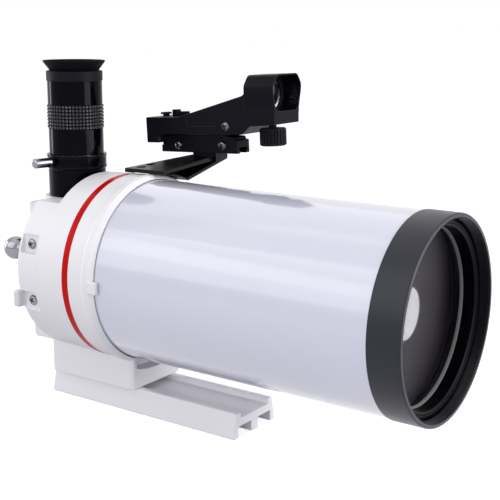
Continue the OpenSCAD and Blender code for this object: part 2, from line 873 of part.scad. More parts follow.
// Solid of revolution around the eyepiece axis from [radius, z] points
module eye_turned(points) {
  translate([-eye_x, 0, axis_h]) rotate_extrude() polygon(points);
}

// Places children along the thumbscrew, outward
module at_thumb() {
  translate([-eye_x, 0, axis_h + thumb_z]) rotate([0, 0, thumb_turn]) children();
}

module eyepiece_holder() {
  color(black) difference() {
    eye_turned([[holder_bore, roof_z], [holder_spigot, roof_z], [holder_spigot, platform_z + boss_h],
      [holder_r, platform_z + boss_h], [holder_r, holder_collar_z], [holder_collar_r - 0.5, holder_collar_z],
      [holder_collar_r, holder_collar_z + 0.5], [holder_collar_r, holder_top_z - 0.5],
      [holder_collar_r - 0.5, holder_top_z], [holder_bore, holder_top_z]]);
    at_thumb() rod(0, 2 * holder_r, thumb_shaft_r + run_gap);
  }
}

module thumbscrew() {
  color(steel) at_thumb() union() {
    rod(thumb_start, thumb_head + cut, thumb_shaft_r);
    rod(thumb_head, thumb_head + thumb_len - 1, thumb_r);
    translate([thumb_head + thumb_len - 1, 0, 0]) rotate([0, 90, 0])
      cylinder(r1 = thumb_r, r2 = thumb_r - 1, h = 1);
  }
}

module eyepiece_barrel() {
  inner = field_lens_r + lens_seat;
  neck = barrel_r - barrel_step;
  color(steel) eye_turned([[inner, body_z - barrel_len], [barrel_r, body_z - barrel_len],
    [barrel_r, body_z], [neck, body_z], [neck, body_z + barrel_neck], [inner, body_z + barrel_neck]]);
}

module eyepiece_body() {
  bore = barrel_r - barrel_step + seat_gap;
  recess = body_r - body_recess;
  lens_top = cap_z - lens_cover;
  lens_low = lens_top - lens_block;
  color(black) eye_turned([[bore, body_z], [body_r - 0.4, body_z], [body_r, body_z + 0.4],
    [body_r, body_z + grip_z], [recess, body_z + grip_z], [recess, body_z + grip_z + grip_h],
    [body_r, body_z + grip_z + grip_h], [body_r, cap_z], [eye_lens_r - lens_seat, cap_z],
    [eye_lens_r - lens_seat, lens_top], [eye_lens_r + seat_gap, lens_top],
    [eye_lens_r + seat_gap, lens_low], [field_lens_r + seat_gap, lens_low],
    [field_lens_r + seat_gap, body_z + body_floor], [bore, body_z + body_floor]]);
}

module grip_band() {
  inner = body_r - body_recess + seat_gap;
  foot = body_z + grip_z + 0.1;
  pitch = (grip_h - 0.2) / grip_rows;
  ridges = [for (i = [0 : grip_rows - 1]) each [
    [body_r, foot + i * pitch], [body_r + bump_h, foot + (i + 0.3) * pitch],
    [body_r + bump_h, foot + (i + 0.7) * pitch]]];
  color(black) eye_turned(concat([[inner, foot]], ridges,
    [[body_r, foot + grip_rows * pitch], [inner, foot + grip_rows * pitch]]));
}

module cap_ring() {
  color(black) eye_turned([[eye_lens_r + lens_seat, cap_z], [cap_r - 0.4, cap_z], [cap_r, cap_z + 0.4],
    [cap_r, cup_z - 0.6], [cap_r - 0.6, cup_z], [eye_lens_r + lens_cover, cup_z]]);
}

module eyecup() {
  color(black) eye_turned([[cup_neck_r - cup_wall, cup_z], [cup_neck_r, cup_z],
    [cup_mouth_r, cup_z + cup_h - 0.5], [cup_mouth_r - 0.3, cup_z + cup_h],
    [cup_mouth_r - cup_wall, cup_z + cup_h]]);
}

// Round block of glass around the eyepiece axis, its lower face at z
module glass_block(r, z) {
  color(glass) eye_turned([[0, z], [r, z], [r, z + lens_block], [0, z + lens_block]]);
}

module eye_lens() {
  glass_block(eye_lens_r, cap_z - lens_cover - lens_block);
}

module field_lens() {
  glass_block(field_lens_r, body_z + body_floor + lens_seat);
}

// Half outline of the bar as [y, z] points, from the middle of its underside
function bar_half_outline() = [[0, 0], [rib_w / 2, 0], [rib_w / 2, hollow_d],
  [bar_base / 2 - leg_t, hollow_d], [bar_base / 2 - leg_t, 0], [bar_base / 2 - 0.8, 0],
  [bar_base / 2, 0.8], [bar_top / 2, bar_h - 0.8],
  [bar_top / 2 - 0.8, bar_h], [channel_w / 2, bar_h], [channel_w / 2 - 1.5, bar_h - channel_d],
  [0, bar_h - channel_d]];

module dovetail_bar() {
  color(white) difference() {
    union() {
      both_sides() bar_along(-bar_len / 2, bar_len / 2, bar_half_outline());
      for (x = bar_screw_x)
        post(0, bar_h, boss_pad_r, x);
      post(0, bar_h - channel_d, boss_pad_r, tripod_x);
    }
    for (x = bar_screw_x) {
      post(-cut, bar_h + cut, bar_screw_r + seat_gap, x);
      post(-cut, hollow_d, bar_head_r + pass_gap, x);
    }
    post(-cut, tripod_depth, tripod_r, tripod_x);
  }
}

module bar_screws() {
  color(steel) for (x = bar_screw_x) {
    difference() {
      union() {
        post(hollow_d - bar_head_h, hollow_d, bar_head_r, x);
        post(hollow_d - 0.1, bar_h + bar_screw_depth, bar_screw_r, x);
      }
      translate([x, 0, hollow_d - bar_head_h]) cylinder(r = bar_screw_r, h = 4, $fn = 6, center = true);
    }
  }
}

// Places children in the finder's own frame
module at_finder() {
  translate([0, finder_y, axis_h + finder_z]) rotate([0, -finder_pitch, 0]) children();
}

// Height of the bracket's top and underside at a distance from the middle
function bracket_roof(y) = bracket_z + bracket_rise * (y - bracket_near) / (bracket_far - bracket_near);
function bracket_floor(y) = gusset_z
  + (bracket_roof(bracket_far) - bracket_tip - gusset_z) * (y - gusset_y) / (bracket_far - gusset_y);

// Rail profile of the finder as [y, z] points, grown by a gap
function rail_outline(gap, drop) = [[-rail_neck - gap, -drop], [rail_neck + gap, -drop],
  [rail_neck + gap, 0.4], [rail_half + gap, rail_h - 0.8], [rail_half + gap, rail_h + gap],
  [-rail_half - gap, rail_h + gap],
  [-rail_half - gap, rail_h - 0.8], [-rail_neck - gap, 0.4]];

// Solid wedge of the bracket over the cell
module bracket_wedge() {
  bar_along(-bracket_back, bracket_front, [[bracket_near, saddle_low],
    [bracket_near, bracket_roof(bracket_near)], [bracket_far, bracket_roof(bracket_far)],
    [bracket_far, bracket_floor(bracket_far)], [gusset_y, gusset_z], [gusset_y, saddle_low]]);
}

// Hollow of the bracket, open to the front
module bracket_hollow() {
  start = bracket_near + bracket_wall;
  difference() {
    bar_along(-bracket_back + bracket_wall, bracket_front + cut, [[start, saddle_low],
      [start, bracket_roof(start) - bracket_wall], [apex_y, bracket_roof(apex_y) - bracket_wall],
      [gusset_y, gusset_z + bracket_wall], [gusset_y, saddle_low]]);
    rod(-bracket_back, bracket_front + 2 * cut, rim_r + bracket_wall);
  }
}

module finder_bracket() {
  color(black) union() {
    on_axis() difference() {
      bracket_wedge();
      bracket_hollow();
      rod(-pad_x, bracket_front + cut, rim_r + run_gap);
      rod(-bracket_back - cut, -pad_x + 0.1, cell_r + 0.1 + run_gap);
      for (y = bracket_screw_y) {
        post(saddle_low, bracket_z + bracket_rise, screw_shaft + run_gap, bracket_screw_x, y);
        post(bracket_seat, bracket_z + bracket_rise, screw_r + pass_gap, bracket_screw_x, y);
      }
    }
    at_finder() bar_along(-bracket_back + 2, bracket_front - 2, rail_outline(0, rail_drop));
  }
}

module bracket_screws() {
  color(steel) on_axis()
    for (y = bracket_screw_y)
      translate([bracket_screw_x, y, bracket_seat])
        cross_screw(screw_r, bracket_top - cut, screw_shaft, bracket_seat - chamber_r - cut);
}

module finder_clamp() {
  color(black) at_finder() difference() {
    union() {
      block([-clamp_back, clamp_front], [-clamp_half, clamp_half], [0, clamp_h]);
      cross_rod(-clamp_half, clamp_half, 3.2, -tilt_back, tilt_z);
    }
    bar_along(-clamp_back - cut, clamp_front + cut, rail_outline(seat_gap, 2));
    cross_rod(-clamp_half - cut, clamp_half + cut, tilt_r + run_gap, -tilt_back, tilt_z);
    for (x = clamp_screw_x)
      cross_rod(-clamp_half - cut, -rail_half - 0.6, screw_shaft + run_gap, x, clamp_screw_z);
  }
}

module clamp_screws() {
  color(steel) at_finder()
    for (x = clamp_screw_x)
      translate([x, -clamp_half, clamp_screw_z]) rotate([90, 0, 0])
        cross_screw(small_head, screw_t, screw_shaft, 1.9);
}

module tilt_pin() {
  color(steel) at_finder() cross_rod(-finder_half, finder_half, tilt_r, -tilt_back, tilt_z);
}

// Front view of the hood above a height as [y, z] points, shrunk by a wall
function hood_outline(wall, low) = [[wall - finder_half, low], [finder_half - wall, low],
  [hood_half - wall, sill + 8], [hood_half - wall, hood_top - 7],
  [finder_half - 1 - wall, hood_top - 1.2 - wall], [8, hood_top - wall], [-8, hood_top - wall],
  [1 + wall - finder_half, hood_top - 1.2 - wall], [wall - hood_half, hood_top - 7],
  [wall - hood_half, sill + 8]];

// Side view of the finder body as [x, z] points
body_side = [[-finder_back, heel], [-tilt_back + 2, heel], [-tilt_back + 5.4, deck],
  [belly_x[0], deck], [belly_x[1], belly_z], [hood_front, belly_z], [hood_front, sill],
  [hood_back + 6, sill], [hood_back + 6, body_neck], [hood_back - 1.2, body_neck],
  [slope_start, body_shoulder], [-finder_back, body_shoulder]];

module finder_body() {
  color(black) at_finder() difference() {
    union() {
      slab_across(finder_half, body_side);
      bar_along(hood_back, hood_front, hood_outline(0, sill - 0.1));
    }
    bar_along(hood_back - 12, hood_front + cut, hood_outline(hood_wall, sill));
    slab_across(2 * hood_half, [[hood_back - cut, body_neck], [hood_back, body_neck],
      [hood_back + hood_lean, hood_top + cut], [hood_back - cut, hood_top + cut]]);
    block([slope_start + 6, hood_back + cut], [-light_half, light_half], [body_shoulder, hood_top]);
    block([under_room[0], belly_x[0] - finder_wall], [finder_wall - finder_half, finder_half - finder_wall],
      [0, body_shoulder - under_room[1]]);
    block([finder_wall - finder_back, hinge_room[0]], [-clamp_half - pass_gap, clamp_half + pass_gap],
      [0, deck + hinge_room[1]]);
    cross_rod(-finder_half - cut, finder_half + cut, tilt_r + run_gap, -tilt_back, tilt_z);
    post(belly_z - cut, belly_z + 7, dial_shaft + run_gap, dial_x);
    post(body_shoulder - 3, body_shoulder + cut, button_stem + run_gap, button_x);
    both_sides()
      cross_rod(finder_half - finder_wall - cut, finder_half + cut, screw_shaft + run_gap,
        side_screw_x, side_screw_z);
  }
}

module glass_frame() {
  color(black) at_finder() difference() {
    bar_along(hood_back + 8, hood_back + 11, hood_outline(hood_wall + seat_gap, sill + seat_gap));
    rod(hood_back, hood_front, glass_r + seat_gap, 0, glass_z);
  }
}

module finder_glass() {
  color(glass) at_finder() rod(hood_back + 8.4, hood_back + 10.6, glass_r, 0, glass_z);
}

module emitter_block() {
  color(black) at_finder() union() {
    block([emitter_x[0], emitter_x[1] + 0.5], [-4.5, 4.5], [body_shoulder, body_shoulder + 4]);
    block([emitter_x[1], emitter_x[2]], [-3.5, 3.5], [body_shoulder, body_shoulder + 2.8]);
  }
}

module power_button() {
  color(black) at_finder() union() {
    post(body_shoulder + 0.8, body_shoulder + 2, button_r, button_x);
    post(body_shoulder - 2, body_shoulder + 1, button_stem, button_x);
  }
}

module finder_knob() {
  color(black) at_finder() union() {
    difference() {
      post(dial_top - dial_h, dial_top, dial_r, dial_x);
      for (i = [1 : dial_teeth])
        translate([dial_x, 0, 0]) rotate([0, 0, i * 360 / dial_teeth])
          post(dial_top - dial_h + 0.8, dial_top - 0.8, 0.45, dial_r);
    }
    post(dial_top - 0.1, belly_z + 6, dial_shaft, dial_x);
  }
}

module body_screws() {
  color(steel) at_finder() both_sides()
    translate([side_screw_x, finder_half, side_screw_z]) rotate([-90, 0, 0])
      cross_screw(small_head, screw_t - 0.4, screw_shaft, finder_wall);
}

main_tube();
front_ring();
corrector_lens();
corrector_retainer();
secondary_spot();
spot_shade();
rear_cell();
red_band();
flank_screws();
back_cover();
cover_screws();
rear_port();
port_cap();
baffle_plate();
baffle_tube();
mirror_cell();
primary_mirror();
mirror_retainer();
focus_bushing();
focus_shaft();
focus_knob();
flip_frame();
flip_mirror();
flip_lever();
flip_link();
eyepiece_holder();
thumbscrew();
eyepiece_barrel();
eyepiece_body();
grip_band();
cap_ring();
eyecup();
eye_lens();
field_lens();
dovetail_bar();
bar_screws();
finder_bracket();
bracket_screws();
finder_clamp();
clamp_screws();
tilt_pin();
finder_body();
finder_glass();
glass_frame();
emitter_block();
power_button();
finder_knob();
body_screws();
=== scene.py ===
"""Dresses the short mirror telescope: shaped pieces, finishes and a pale studio."""

import math

import bpy
from bpy.props import FloatProperty, FloatVectorProperty, IntProperty, PointerProperty
from mathutils import Matrix, Vector


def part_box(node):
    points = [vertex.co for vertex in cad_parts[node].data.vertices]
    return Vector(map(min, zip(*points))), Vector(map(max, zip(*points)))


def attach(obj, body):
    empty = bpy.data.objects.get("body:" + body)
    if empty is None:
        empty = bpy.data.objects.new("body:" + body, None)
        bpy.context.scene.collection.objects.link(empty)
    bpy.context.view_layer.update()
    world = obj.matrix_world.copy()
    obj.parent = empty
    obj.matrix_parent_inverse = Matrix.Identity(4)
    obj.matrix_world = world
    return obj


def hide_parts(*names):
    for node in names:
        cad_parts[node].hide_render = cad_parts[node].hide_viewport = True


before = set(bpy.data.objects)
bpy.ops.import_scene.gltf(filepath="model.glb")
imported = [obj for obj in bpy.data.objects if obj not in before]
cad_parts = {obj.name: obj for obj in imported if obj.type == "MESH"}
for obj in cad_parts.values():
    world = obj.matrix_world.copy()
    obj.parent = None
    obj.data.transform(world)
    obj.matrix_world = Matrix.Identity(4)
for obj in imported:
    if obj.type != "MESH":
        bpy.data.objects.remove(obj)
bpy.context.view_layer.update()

bl_info = {
    "name": "Short mirror telescope",
    "version": (1, 0, 0),
    "blender": (4, 5, 0),
    "location": "3D View > Sidebar > Telescope",
    "description": "Models the visible pieces of a short mirror telescope over its packed frame",
    "category": "Object",
}

# Lengths in the shape code are millimetres; the scene is in metres.
MM = 0.001
FULL_TURN = 2 * math.pi

# Distances in metres below which points are merged and slivers are dissolved.
MERGE_DISTANCE = 1e-7
BOOLEAN_SLIVER = 2e-6
PIECE_SLIVER = 5e-6
CELL_SLIVER = 3e-5

# A rounded corner takes no more than this share of a side, and a nearly straight one is left.
CORNER_SHARE = 0.48
STRAIGHT_ANGLE = 0.02

# Surface textures: samples of a bevel, height of the grain and colour of the dust.
BEVEL_SAMPLES = 6
GRAIN_HEIGHT = 0.2
DUST_GREY = (0.6, 0.6, 0.6)

# Height of the tube's axis over the floor. The places listed under it count from the axis.
AXIS_HEIGHT = 90.0
EYE_X = -67.3
RING_LENGTH = 19.2
LENS_RADIUS = 53.8
BOX_SIDE, BOX_LOW, BOX_HIGH = 22.5, -54, 38
COVER_BACK = -90
POCKET_FLOOR = 52
GRIP_LOW, GRIP_HEIGHT = 85.8, 15.3
BRACKET_SCREW_X, BRACKET_SCREWS_Y = -17.8, (7, 16)

# The finder's lean against the tube, and its dial's place along it.
FINDER_LEAN = math.radians(3.2)
DIAL_ALONG = 51.3

# Faces round the eyepiece's pieces, and ribs round the rear cap.
EYE_FACES = 128
CAP_RIBS = 48


def columns(origin, x, y, z):
    """Matrix that carries local x, y and z to these directions, from an origin in millimetres."""
    place = Matrix((x, y, z)).transposed().to_4x4()
    place.translation = Vector(origin) * MM
    return place


def at(place, x, y, z):
    """The place moved by a step in its own directions, in millimetres."""
    return place @ Matrix.Translation(Vector((x, y, z)) * MM)


WORLD = Matrix()
BODY = at(WORLD, 0, 0, AXIS_HEIGHT)
EYE = at(WORLD, EYE_X, 0, AXIS_HEIGHT)
TUBE = columns((0, 0, AXIS_HEIGHT), (0, 0, 1), (0, -1, 0), (1, 0, 0))
FINDER = columns((0, 54.5, 159.598), (math.cos(FINDER_LEAN), 0, math.sin(FINDER_LEAN)), (0, 1, 0),
                 (-math.sin(FINDER_LEAN), 0, math.cos(FINDER_LEAN)))
SIDEWAYS = columns((0, 0, 0), (1, 0, 0), (0, 0, 1), (0, -1, 0))
FAR_SIDE = columns((0, 0, 0), (-1, 0, 0), (0, 0, 1), (0, 1, 0))
LENGTHWAYS = columns((0, 0, 0), (0, 1, 0), (0, 0, 1), (1, 0, 0))
BACKWARDS = columns((0, 0, 0), (0, -1, 0), (0, 0, 1), (-1, 0, 0))


def paint(r, g, b):
    """Screen colour from 0 to 255 as the linear colour that shaders take."""
    return tuple(c / 255 / 12.92 if c <= 10 else ((c / 255 + 0.055) / 1.055) ** 2.4
                 for c in (r, g, b))


COLOUR = {"subtype": "COLOR", "min": 0, "max": 1}
LENGTH = {"subtype": "DISTANCE", "unit": "LENGTH"}


class TelescopeColours(bpy.types.PropertyGroup):
    tube_white: FloatVectorProperty(
        name="Tube white", description="Gloss paint of the tube",
        default=paint(203, 203, 219), **COLOUR)
    cell_white: FloatVectorProperty(
        name="Cell white", description="Satin white of the rear cell and the bar",
        default=paint(229, 228, 232), **COLOUR)
    band_red: FloatVectorProperty(
        name="Band red", description="Gloss red of the band round the cell",
        default=paint(190, 5, 3), **COLOUR)
    ring_black: FloatVectorProperty(
        name="Ring black", description="Satin black of the front ring",
        default=paint(26, 26, 40), **COLOUR)
    gloss_black: FloatVectorProperty(
        name="Gloss black", description="Polished black of the eyepiece",
        default=paint(4, 3, 8), **COLOUR)
    finder_black: FloatVectorProperty(
        name="Finder black", description="Moulded black of the finder",
        default=paint(15, 14, 22), **COLOUR)
    rubber_black: FloatVectorProperty(
        name="Rubber black", description="Matt rubber of the eyecup and grip",
        default=paint(10, 9, 15), **COLOUR)
    lever_grey: FloatVectorProperty(
        name="Lever grey", description="Pale plastic of the flip lever",
        default=paint(216, 215, 223), **COLOUR)


class TelescopeSizes(bpy.types.PropertyGroup):
    tube_radius: FloatProperty(
        name="Tube radius", description="Outside radius of the tube",
        default=(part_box("main_tube")[1][1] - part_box("main_tube")[0][1]) / 2, **LENGTH)
    tube_front: FloatProperty(
        name="Tube front", description="Front end of the tube before the cell's edge",
        default=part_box("front_ring")[1][0] - RING_LENGTH * MM, **LENGTH)
    bar_half_length: FloatProperty(
        name="Half bar length", description="Half the length of the dovetail bar",
        default=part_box("dovetail_bar")[1][0], **LENGTH)
    turning_steps: IntProperty(
        name="Turning steps", description="Faces round each large turned piece",
        default=160, min=48, max=320)
    grip_rows: IntProperty(
        name="Grip rows", description="Rows of bumps on the eyepiece grip",
        default=7, min=3, max=12)
    grip_columns: IntProperty(
        name="Grip columns", description="Bumps round the eyepiece grip",
        default=50, min=24, max=90)
    dial_ribs: IntProperty(
        name="Dial ribs", description="Ribs round the finder's dial",
        default=24, min=12, max=60)


class TelescopeStudio(bpy.types.PropertyGroup):
    key_power: FloatProperty(
        name="Key light", description="Power of the large light above the tube",
        default=1.2, unit="POWER")
    front_power: FloatProperty(
        name="Front light", description="Power of the upright light ahead of the tube",
        default=13.5, unit="POWER")
    side_power: FloatProperty(
        name="Side light", description="Power of the light above the near side",
        default=0.5, unit="POWER")
    fill_power: FloatProperty(
        name="Fill light", description="Power of the low wide light on the bar and the foot",
        default=6.0, unit="POWER")
    back_power: FloatProperty(
        name="Back light", description="Power of the narrow light behind the cell",
        default=3.2, unit="POWER")
    gloss_power: FloatProperty(
        name="Gloss light", description="Power of the two softboxes that show only in the gloss",
        default=10.0, unit="POWER")
    sky_level: FloatProperty(
        name="Sky level", description="Light from all around",
        default=0.6, min=0, max=2, subtype="FACTOR")
    floor_tone: FloatVectorProperty(
        name="Floor tone", description="Colour of the floor",
        default=(0.41, 0.41, 0.44), **COLOUR)


def deselect():
    """Leaves edit mode and selects nothing."""
    if bpy.context.object and bpy.context.object.mode != "OBJECT":
        bpy.ops.object.mode_set(mode="OBJECT")
    bpy.ops.object.select_all(action="DESELECT")


def pick(piece, *others):
    """Selects a piece and makes it active, with any others selected beside it."""
    deselect()
    for each in (*others, piece):
        each.select_set(True)
    bpy.context.view_layer.objects.active = piece


def named(name):
    """The active object, with its name on it and on its mesh."""
    piece = bpy.context.object
    piece.name = piece.data.name = name
    return piece


def put(piece, place):
    """Moves a piece to its place and keeps the place in its mesh."""
    pick(piece)
    piece.matrix_world = place
    bpy.ops.object.transform_apply(location=True, rotation=True, scale=True)
    return piece


def edit(piece, operator, **settings):
    """Runs one edit-mode operator on a whole piece."""
    pick(piece)
    bpy.ops.object.mode_set(mode="EDIT")
    bpy.ops.mesh.select_all(action="SELECT")
    operator(**settings)
    bpy.ops.object.mode_set(mode="OBJECT")
    return piece


def discard(piece):
    """Removes a piece and its mesh."""
    mesh = piece.data
    bpy.data.objects.remove(piece)
    bpy.data.meshes.remove(mesh)


def rounded(points, steps=4, closed=True):
    """The outline with its corners rounded; a third number on a point is its radius."""
    out = []
    ends = () if closed else (0, len(points) - 1)
    for i, point in enumerate(points):
        here = Vector(point[:2])
        if len(point) < 3 or i in ends:
            out.append(here)
            continue
        to_last = Vector(points[i - 1][:2]) - here
        to_next = Vector(points[(i + 1) % len(points)][:2]) - here
        half = to_last.angle(to_next) / 2
        if half > math.pi / 2 - STRAIGHT_ANGLE:
            out.append(here)
            continue
        reach = min(point[2] / math.tan(half), CORNER_SHARE * to_last.length,
                    CORNER_SHARE * to_next.length)
        bisector = (to_last.normalized() + to_next.normalized()).normalized()
        centre = here + bisector * (reach / math.cos(half))
        first = here + to_last.normalized() * reach - centre
        second = here + to_next.normalized() * reach - centre
        begin = math.atan2(first.y, first.x)
        sweep = math.atan2(second.y, second.x) - begin
        sweep = (sweep + math.pi) % FULL_TURN - math.pi
        for k in range(steps + 1):
            angle = begin + sweep * k / steps
            out.append(centre + Vector((math.cos(angle), math.sin(angle))) * first.length)
    return out


def mirrored(points):
    """The other half of an outline that is the same to both sides."""
    return [(-x, y, *radius) for x, y, *radius in reversed(points)]


def drawn(name, points):
    """A line of edges through points, drawn from one vertex and left in edit mode."""
    deselect()
    bpy.ops.mesh.primitive_plane_add(size=MM, location=(0, 0, 0))
    piece = named(name)
    bpy.ops.object.mode_set(mode="EDIT")
    bpy.ops.mesh.select_all(action="SELECT")
    bpy.ops.mesh.merge(type="CENTER")
    points = [Vector(point) for point in points]
    bpy.ops.transform.translate(value=points[0] * MM)
    for last, point in zip(points, points[1:]):
        bpy.ops.mesh.extrude_vertices_move(TRANSFORM_OT_translate={"value": (point - last) * MM})
    bpy.ops.mesh.select_all(action="SELECT")
    return piece


def close_up():
    """Merges doubles and turns the faces outward, then leaves edit mode."""
    bpy.ops.mesh.select_all(action="SELECT")
    bpy.ops.mesh.remove_doubles(threshold=MERGE_DISTANCE)
    bpy.ops.mesh.normals_make_consistent(inside=False)
    bpy.ops.object.mode_set(mode="OBJECT")


def turned(name, profile, place, faces=96, ring=False, steps=4):
    """A piece spun from (radius, height) points; the profile of a ring closes on itself."""
    points = [(r, 0, z) for r, z in rounded(profile, steps, closed=ring)]
    piece = drawn(name, points + points[:1] if ring else points)
    bpy.ops.mesh.spin(steps=faces, angle=FULL_TURN, center=(0, 0, 0), axis=(0, 0, 1))
    close_up()
    return put(piece, place)


def rod(name, radius, low, high, place, faces=96):
    """A plain round solid from low to high."""
    return turned(name, [(0, low), (radius, low), (radius, high), (0, high)], place, faces)


def arc_band(name, profile, place, start, sweep, faces):
    """Part of a ring from its closed profile, with both ends filled."""
    points = [(r, 0, z) for r, z in rounded(profile)]
    piece = drawn(name, points + points[:1])
    bpy.ops.mesh.remove_doubles(threshold=MERGE_DISTANCE)
    bpy.ops.mesh.spin(steps=faces, angle=sweep, center=(0, 0, 0), axis=(0, 0, 1))
    bpy.ops.mesh.select_all(action="SELECT")
    bpy.ops.mesh.fill_holes(sides=0)
    close_up()
    return put(piece, place @ Matrix.Rotation(start, 4, "Z"))


def prism(name, outline, low, high, place, steps=4):
    """A closed outline in the local x and y, extruded from low to high."""
    piece = drawn(name, [(x, y, low) for x, y in rounded(outline, steps)])
    bpy.ops.mesh.edge_face_add()
    bpy.ops.mesh.extrude_region_move(TRANSFORM_OT_translate={"value": (0, 0, (high - low) * MM)})
    close_up()
    return put(piece, place)


def slab(name, low, high, round_by=0, place=BODY, segments=3):
    """A box between two corners with its edges rounded."""
    deselect()
    low, high = Vector(low), Vector(high)
    bpy.ops.mesh.primitive_cube_add(size=1, location=(high + low) / 2 * MM, scale=(high - low) * MM)
    piece = named(name)
    bpy.ops.object.transform_apply(location=True, rotation=True, scale=True)
    if round_by > 0:
        edit(piece, bpy.ops.mesh.bevel, offset=round_by * MM, segments=segments, affect="EDGES")
    return put(piece, place)


def ringed(piece, count, place, axis):
    """Repeats a piece's mesh at even steps round an axis through a place."""
    more = count - 1
    return edit(piece, bpy.ops.mesh.spin, steps=more, dupli=True, angle=FULL_TURN * more / count,
                center=place.translation, axis=axis)


def nudge(piece, chosen, step):
    """Moves the points that a test of their place chooses by a step."""
    edit(piece, bpy.ops.mesh.select_all, action="DESELECT")
    for point in piece.data.vertices:
        point.select = chosen(*(point.co / MM))
    bpy.ops.object.mode_set(mode="EDIT")
    bpy.ops.mesh.select_mode(type="VERT")
    bpy.ops.transform.translate(value=Vector(step) * MM)
    bpy.ops.object.mode_set(mode="OBJECT")


def apply_modifier(piece, kind, **settings):
    """Adds one modifier to a piece and applies it."""
    pick(piece)
    modifier = piece.modifiers.new(kind.title(), kind)
    for key, value in settings.items():
        setattr(modifier, key, value)
    bpy.ops.object.modifier_apply(modifier=modifier.name)
    return piece


def soften(piece, width, segments=2, angle=30):
    """Rounds the sharp edges of a piece by a width."""
    return apply_modifier(piece, "BEVEL", width=width * MM, segments=segments, limit_method="ANGLE",
                          angle_limit=math.radians(angle), use_clamp_overlap=True)


def join_with(piece, others, operation):
    """Unites other solids with the piece, or cuts them out, and uses them up."""
    for other in others:
        apply_modifier(piece, "BOOLEAN", operation=operation, solver="EXACT", object=other)
        edit(piece, bpy.ops.mesh.dissolve_degenerate, threshold=BOOLEAN_SLIVER)
        discard(other)
    return piece


def cut(piece, *cutters):
    """Cuts each of the solids out of the piece."""
    return join_with(piece, cutters, "DIFFERENCE")


def unite(piece, *others):
    """Unites the solids with the piece."""
    return join_with(piece, others, "UNION")


def gather(piece, *others):
    """Puts loose solids of one make into one object."""
    pick(piece, *others)
    bpy.ops.object.join()
    return piece


def smooth(piece, angle=32, sliver=PIECE_SLIVER):
    """Clears slivers, shades round faces smooth and keeps flat ones flat."""
    edit(piece, bpy.ops.mesh.dissolve_degenerate, threshold=sliver)
    bpy.ops.object.shade_smooth_by_angle(angle=math.radians(angle))
    return apply_modifier(piece, "WEIGHTED_NORMAL", keep_sharp=True, weight=60)


def twin(piece, name, place):
    """A copy of a piece with a mesh of its own, at another place."""
    pick(piece)
    bpy.ops.object.duplicate(linked=False)
    return put(named(name), place)


def carry(piece, body, slot, *nodes):
    """Hangs a piece on the body that carries it and lets it stand for its nodes."""
    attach(piece, body)
    if nodes:
        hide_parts(*nodes)


def settle(piece, body, slot, surface, *nodes):
    """Gives a piece its finish, the body that carries it and the nodes that it stands for."""
    piece.data.materials.clear()
    piece.data.materials.append(bpy.data.materials[surface])
    carry(piece, body, slot, *nodes)


def line(piece, radius, surface):
    """Gives the faces nearer than a radius to the tube's axis a lining of another finish."""
    piece.data.materials.append(bpy.data.materials[surface])
    for face in piece.data.polygons:
        if math.hypot(face.center.y, face.center.z - AXIS_HEIGHT * MM) < radius * MM:
            face.material_index = 1


def feed(tree, socket, value):
    """Links an output to a socket, or gives the socket its own value."""
    if isinstance(value, bpy.types.NodeSocket):
        tree.links.new(value, socket)
    elif socket.type == "RGBA":
        socket.default_value = (*value[:3], 1)
    else:
        socket.default_value = value


def add_node(tree, kind, inputs=None, **settings):
    """A node of that kind with its settings and what feeds its inputs."""
    node = tree.nodes.new(kind)
    for key, value in settings.items():
        setattr(node, key, value)
    for key, value in (inputs or {}).items():
        feed(tree, node.inputs[key], value)
    return node


def mixed(tree, factor, first, second):
    """A mix of two colours; each value is a socket or plain."""
    mix = add_node(tree, "ShaderNodeMix", {"Factor": factor, "A": first, "B": second},
                   data_type="RGBA")
    return mix.outputs["Result"]


def ranged(tree, value, low, high, ends="To"):
    """A value carried from 0 and 1 to a low and a high end, or from those ends to 0 and 1."""
    reach = add_node(tree, "ShaderNodeMapRange", {
        ends + " Min": low, ends + " Max": high, "Value": value})
    return reach.outputs["Result"]


def new_group(name, inputs, outputs):
    """A shader node group with its sockets and the nodes at its two ends."""
    tree = bpy.data.node_groups.new(name, "ShaderNodeTree")
    for socket, kind in inputs.items():
        tree.interface.new_socket(socket, in_out="INPUT", socket_type="NodeSocket" + kind)
    for socket in outputs:
        tree.interface.new_socket(socket, in_out="OUTPUT", socket_type="NodeSocketFloat")
    return tree, add_node(tree, "NodeGroupInput"), add_node(tree, "NodeGroupOutput")


def grain_group():
    """Slow mottle, fine grain and sparse dust over a surface, each from 0 to 1."""
    tree, start, end = new_group(
        "Surface grain", {"Vector": "Vector", "Mottle Scale": "Float", "Grain Scale": "Float"},
        ("Mottle", "Grain", "Dust"))
    place = start.outputs["Vector"]
    for name, detail in (("Mottle", 3), ("Grain", 2)):
        noise = add_node(tree, "ShaderNodeTexNoise", {
            "Vector": place, "Scale": start.outputs[name + " Scale"], "Detail": detail})
        feed(tree, end.inputs[name], noise.outputs["Fac"])
    specks = add_node(tree, "ShaderNodeTexVoronoi", {
        "Vector": place, "Scale": start.outputs["Grain Scale"]})
    dust = ranged(tree, specks.outputs["Distance"], 0.14, 0.04, "From")
    feed(tree, end.inputs["Dust"], dust)


def edge_group():
    """Outer edges of a piece, from 0 inside its faces to 1 on its edges: painted edge highlight and
    wear.
    """
    tree, start, end = new_group("Edge highlight and wear", {"Width": "Float"}, ("Edge",))
    bevel = add_node(tree, "ShaderNodeBevel", {"Radius": start.outputs["Width"]},
                     samples=BEVEL_SAMPLES)
    shape = add_node(tree, "ShaderNodeNewGeometry")
    dot = add_node(tree, "ShaderNodeVectorMath", {
        0: bevel.outputs["Normal"], 1: shape.outputs["Normal"]}, operation="DOT_PRODUCT")
    feed(tree, end.inputs["Edge"], ranged(tree, dot.outputs["Value"], 0.995, 0.80, "From"))


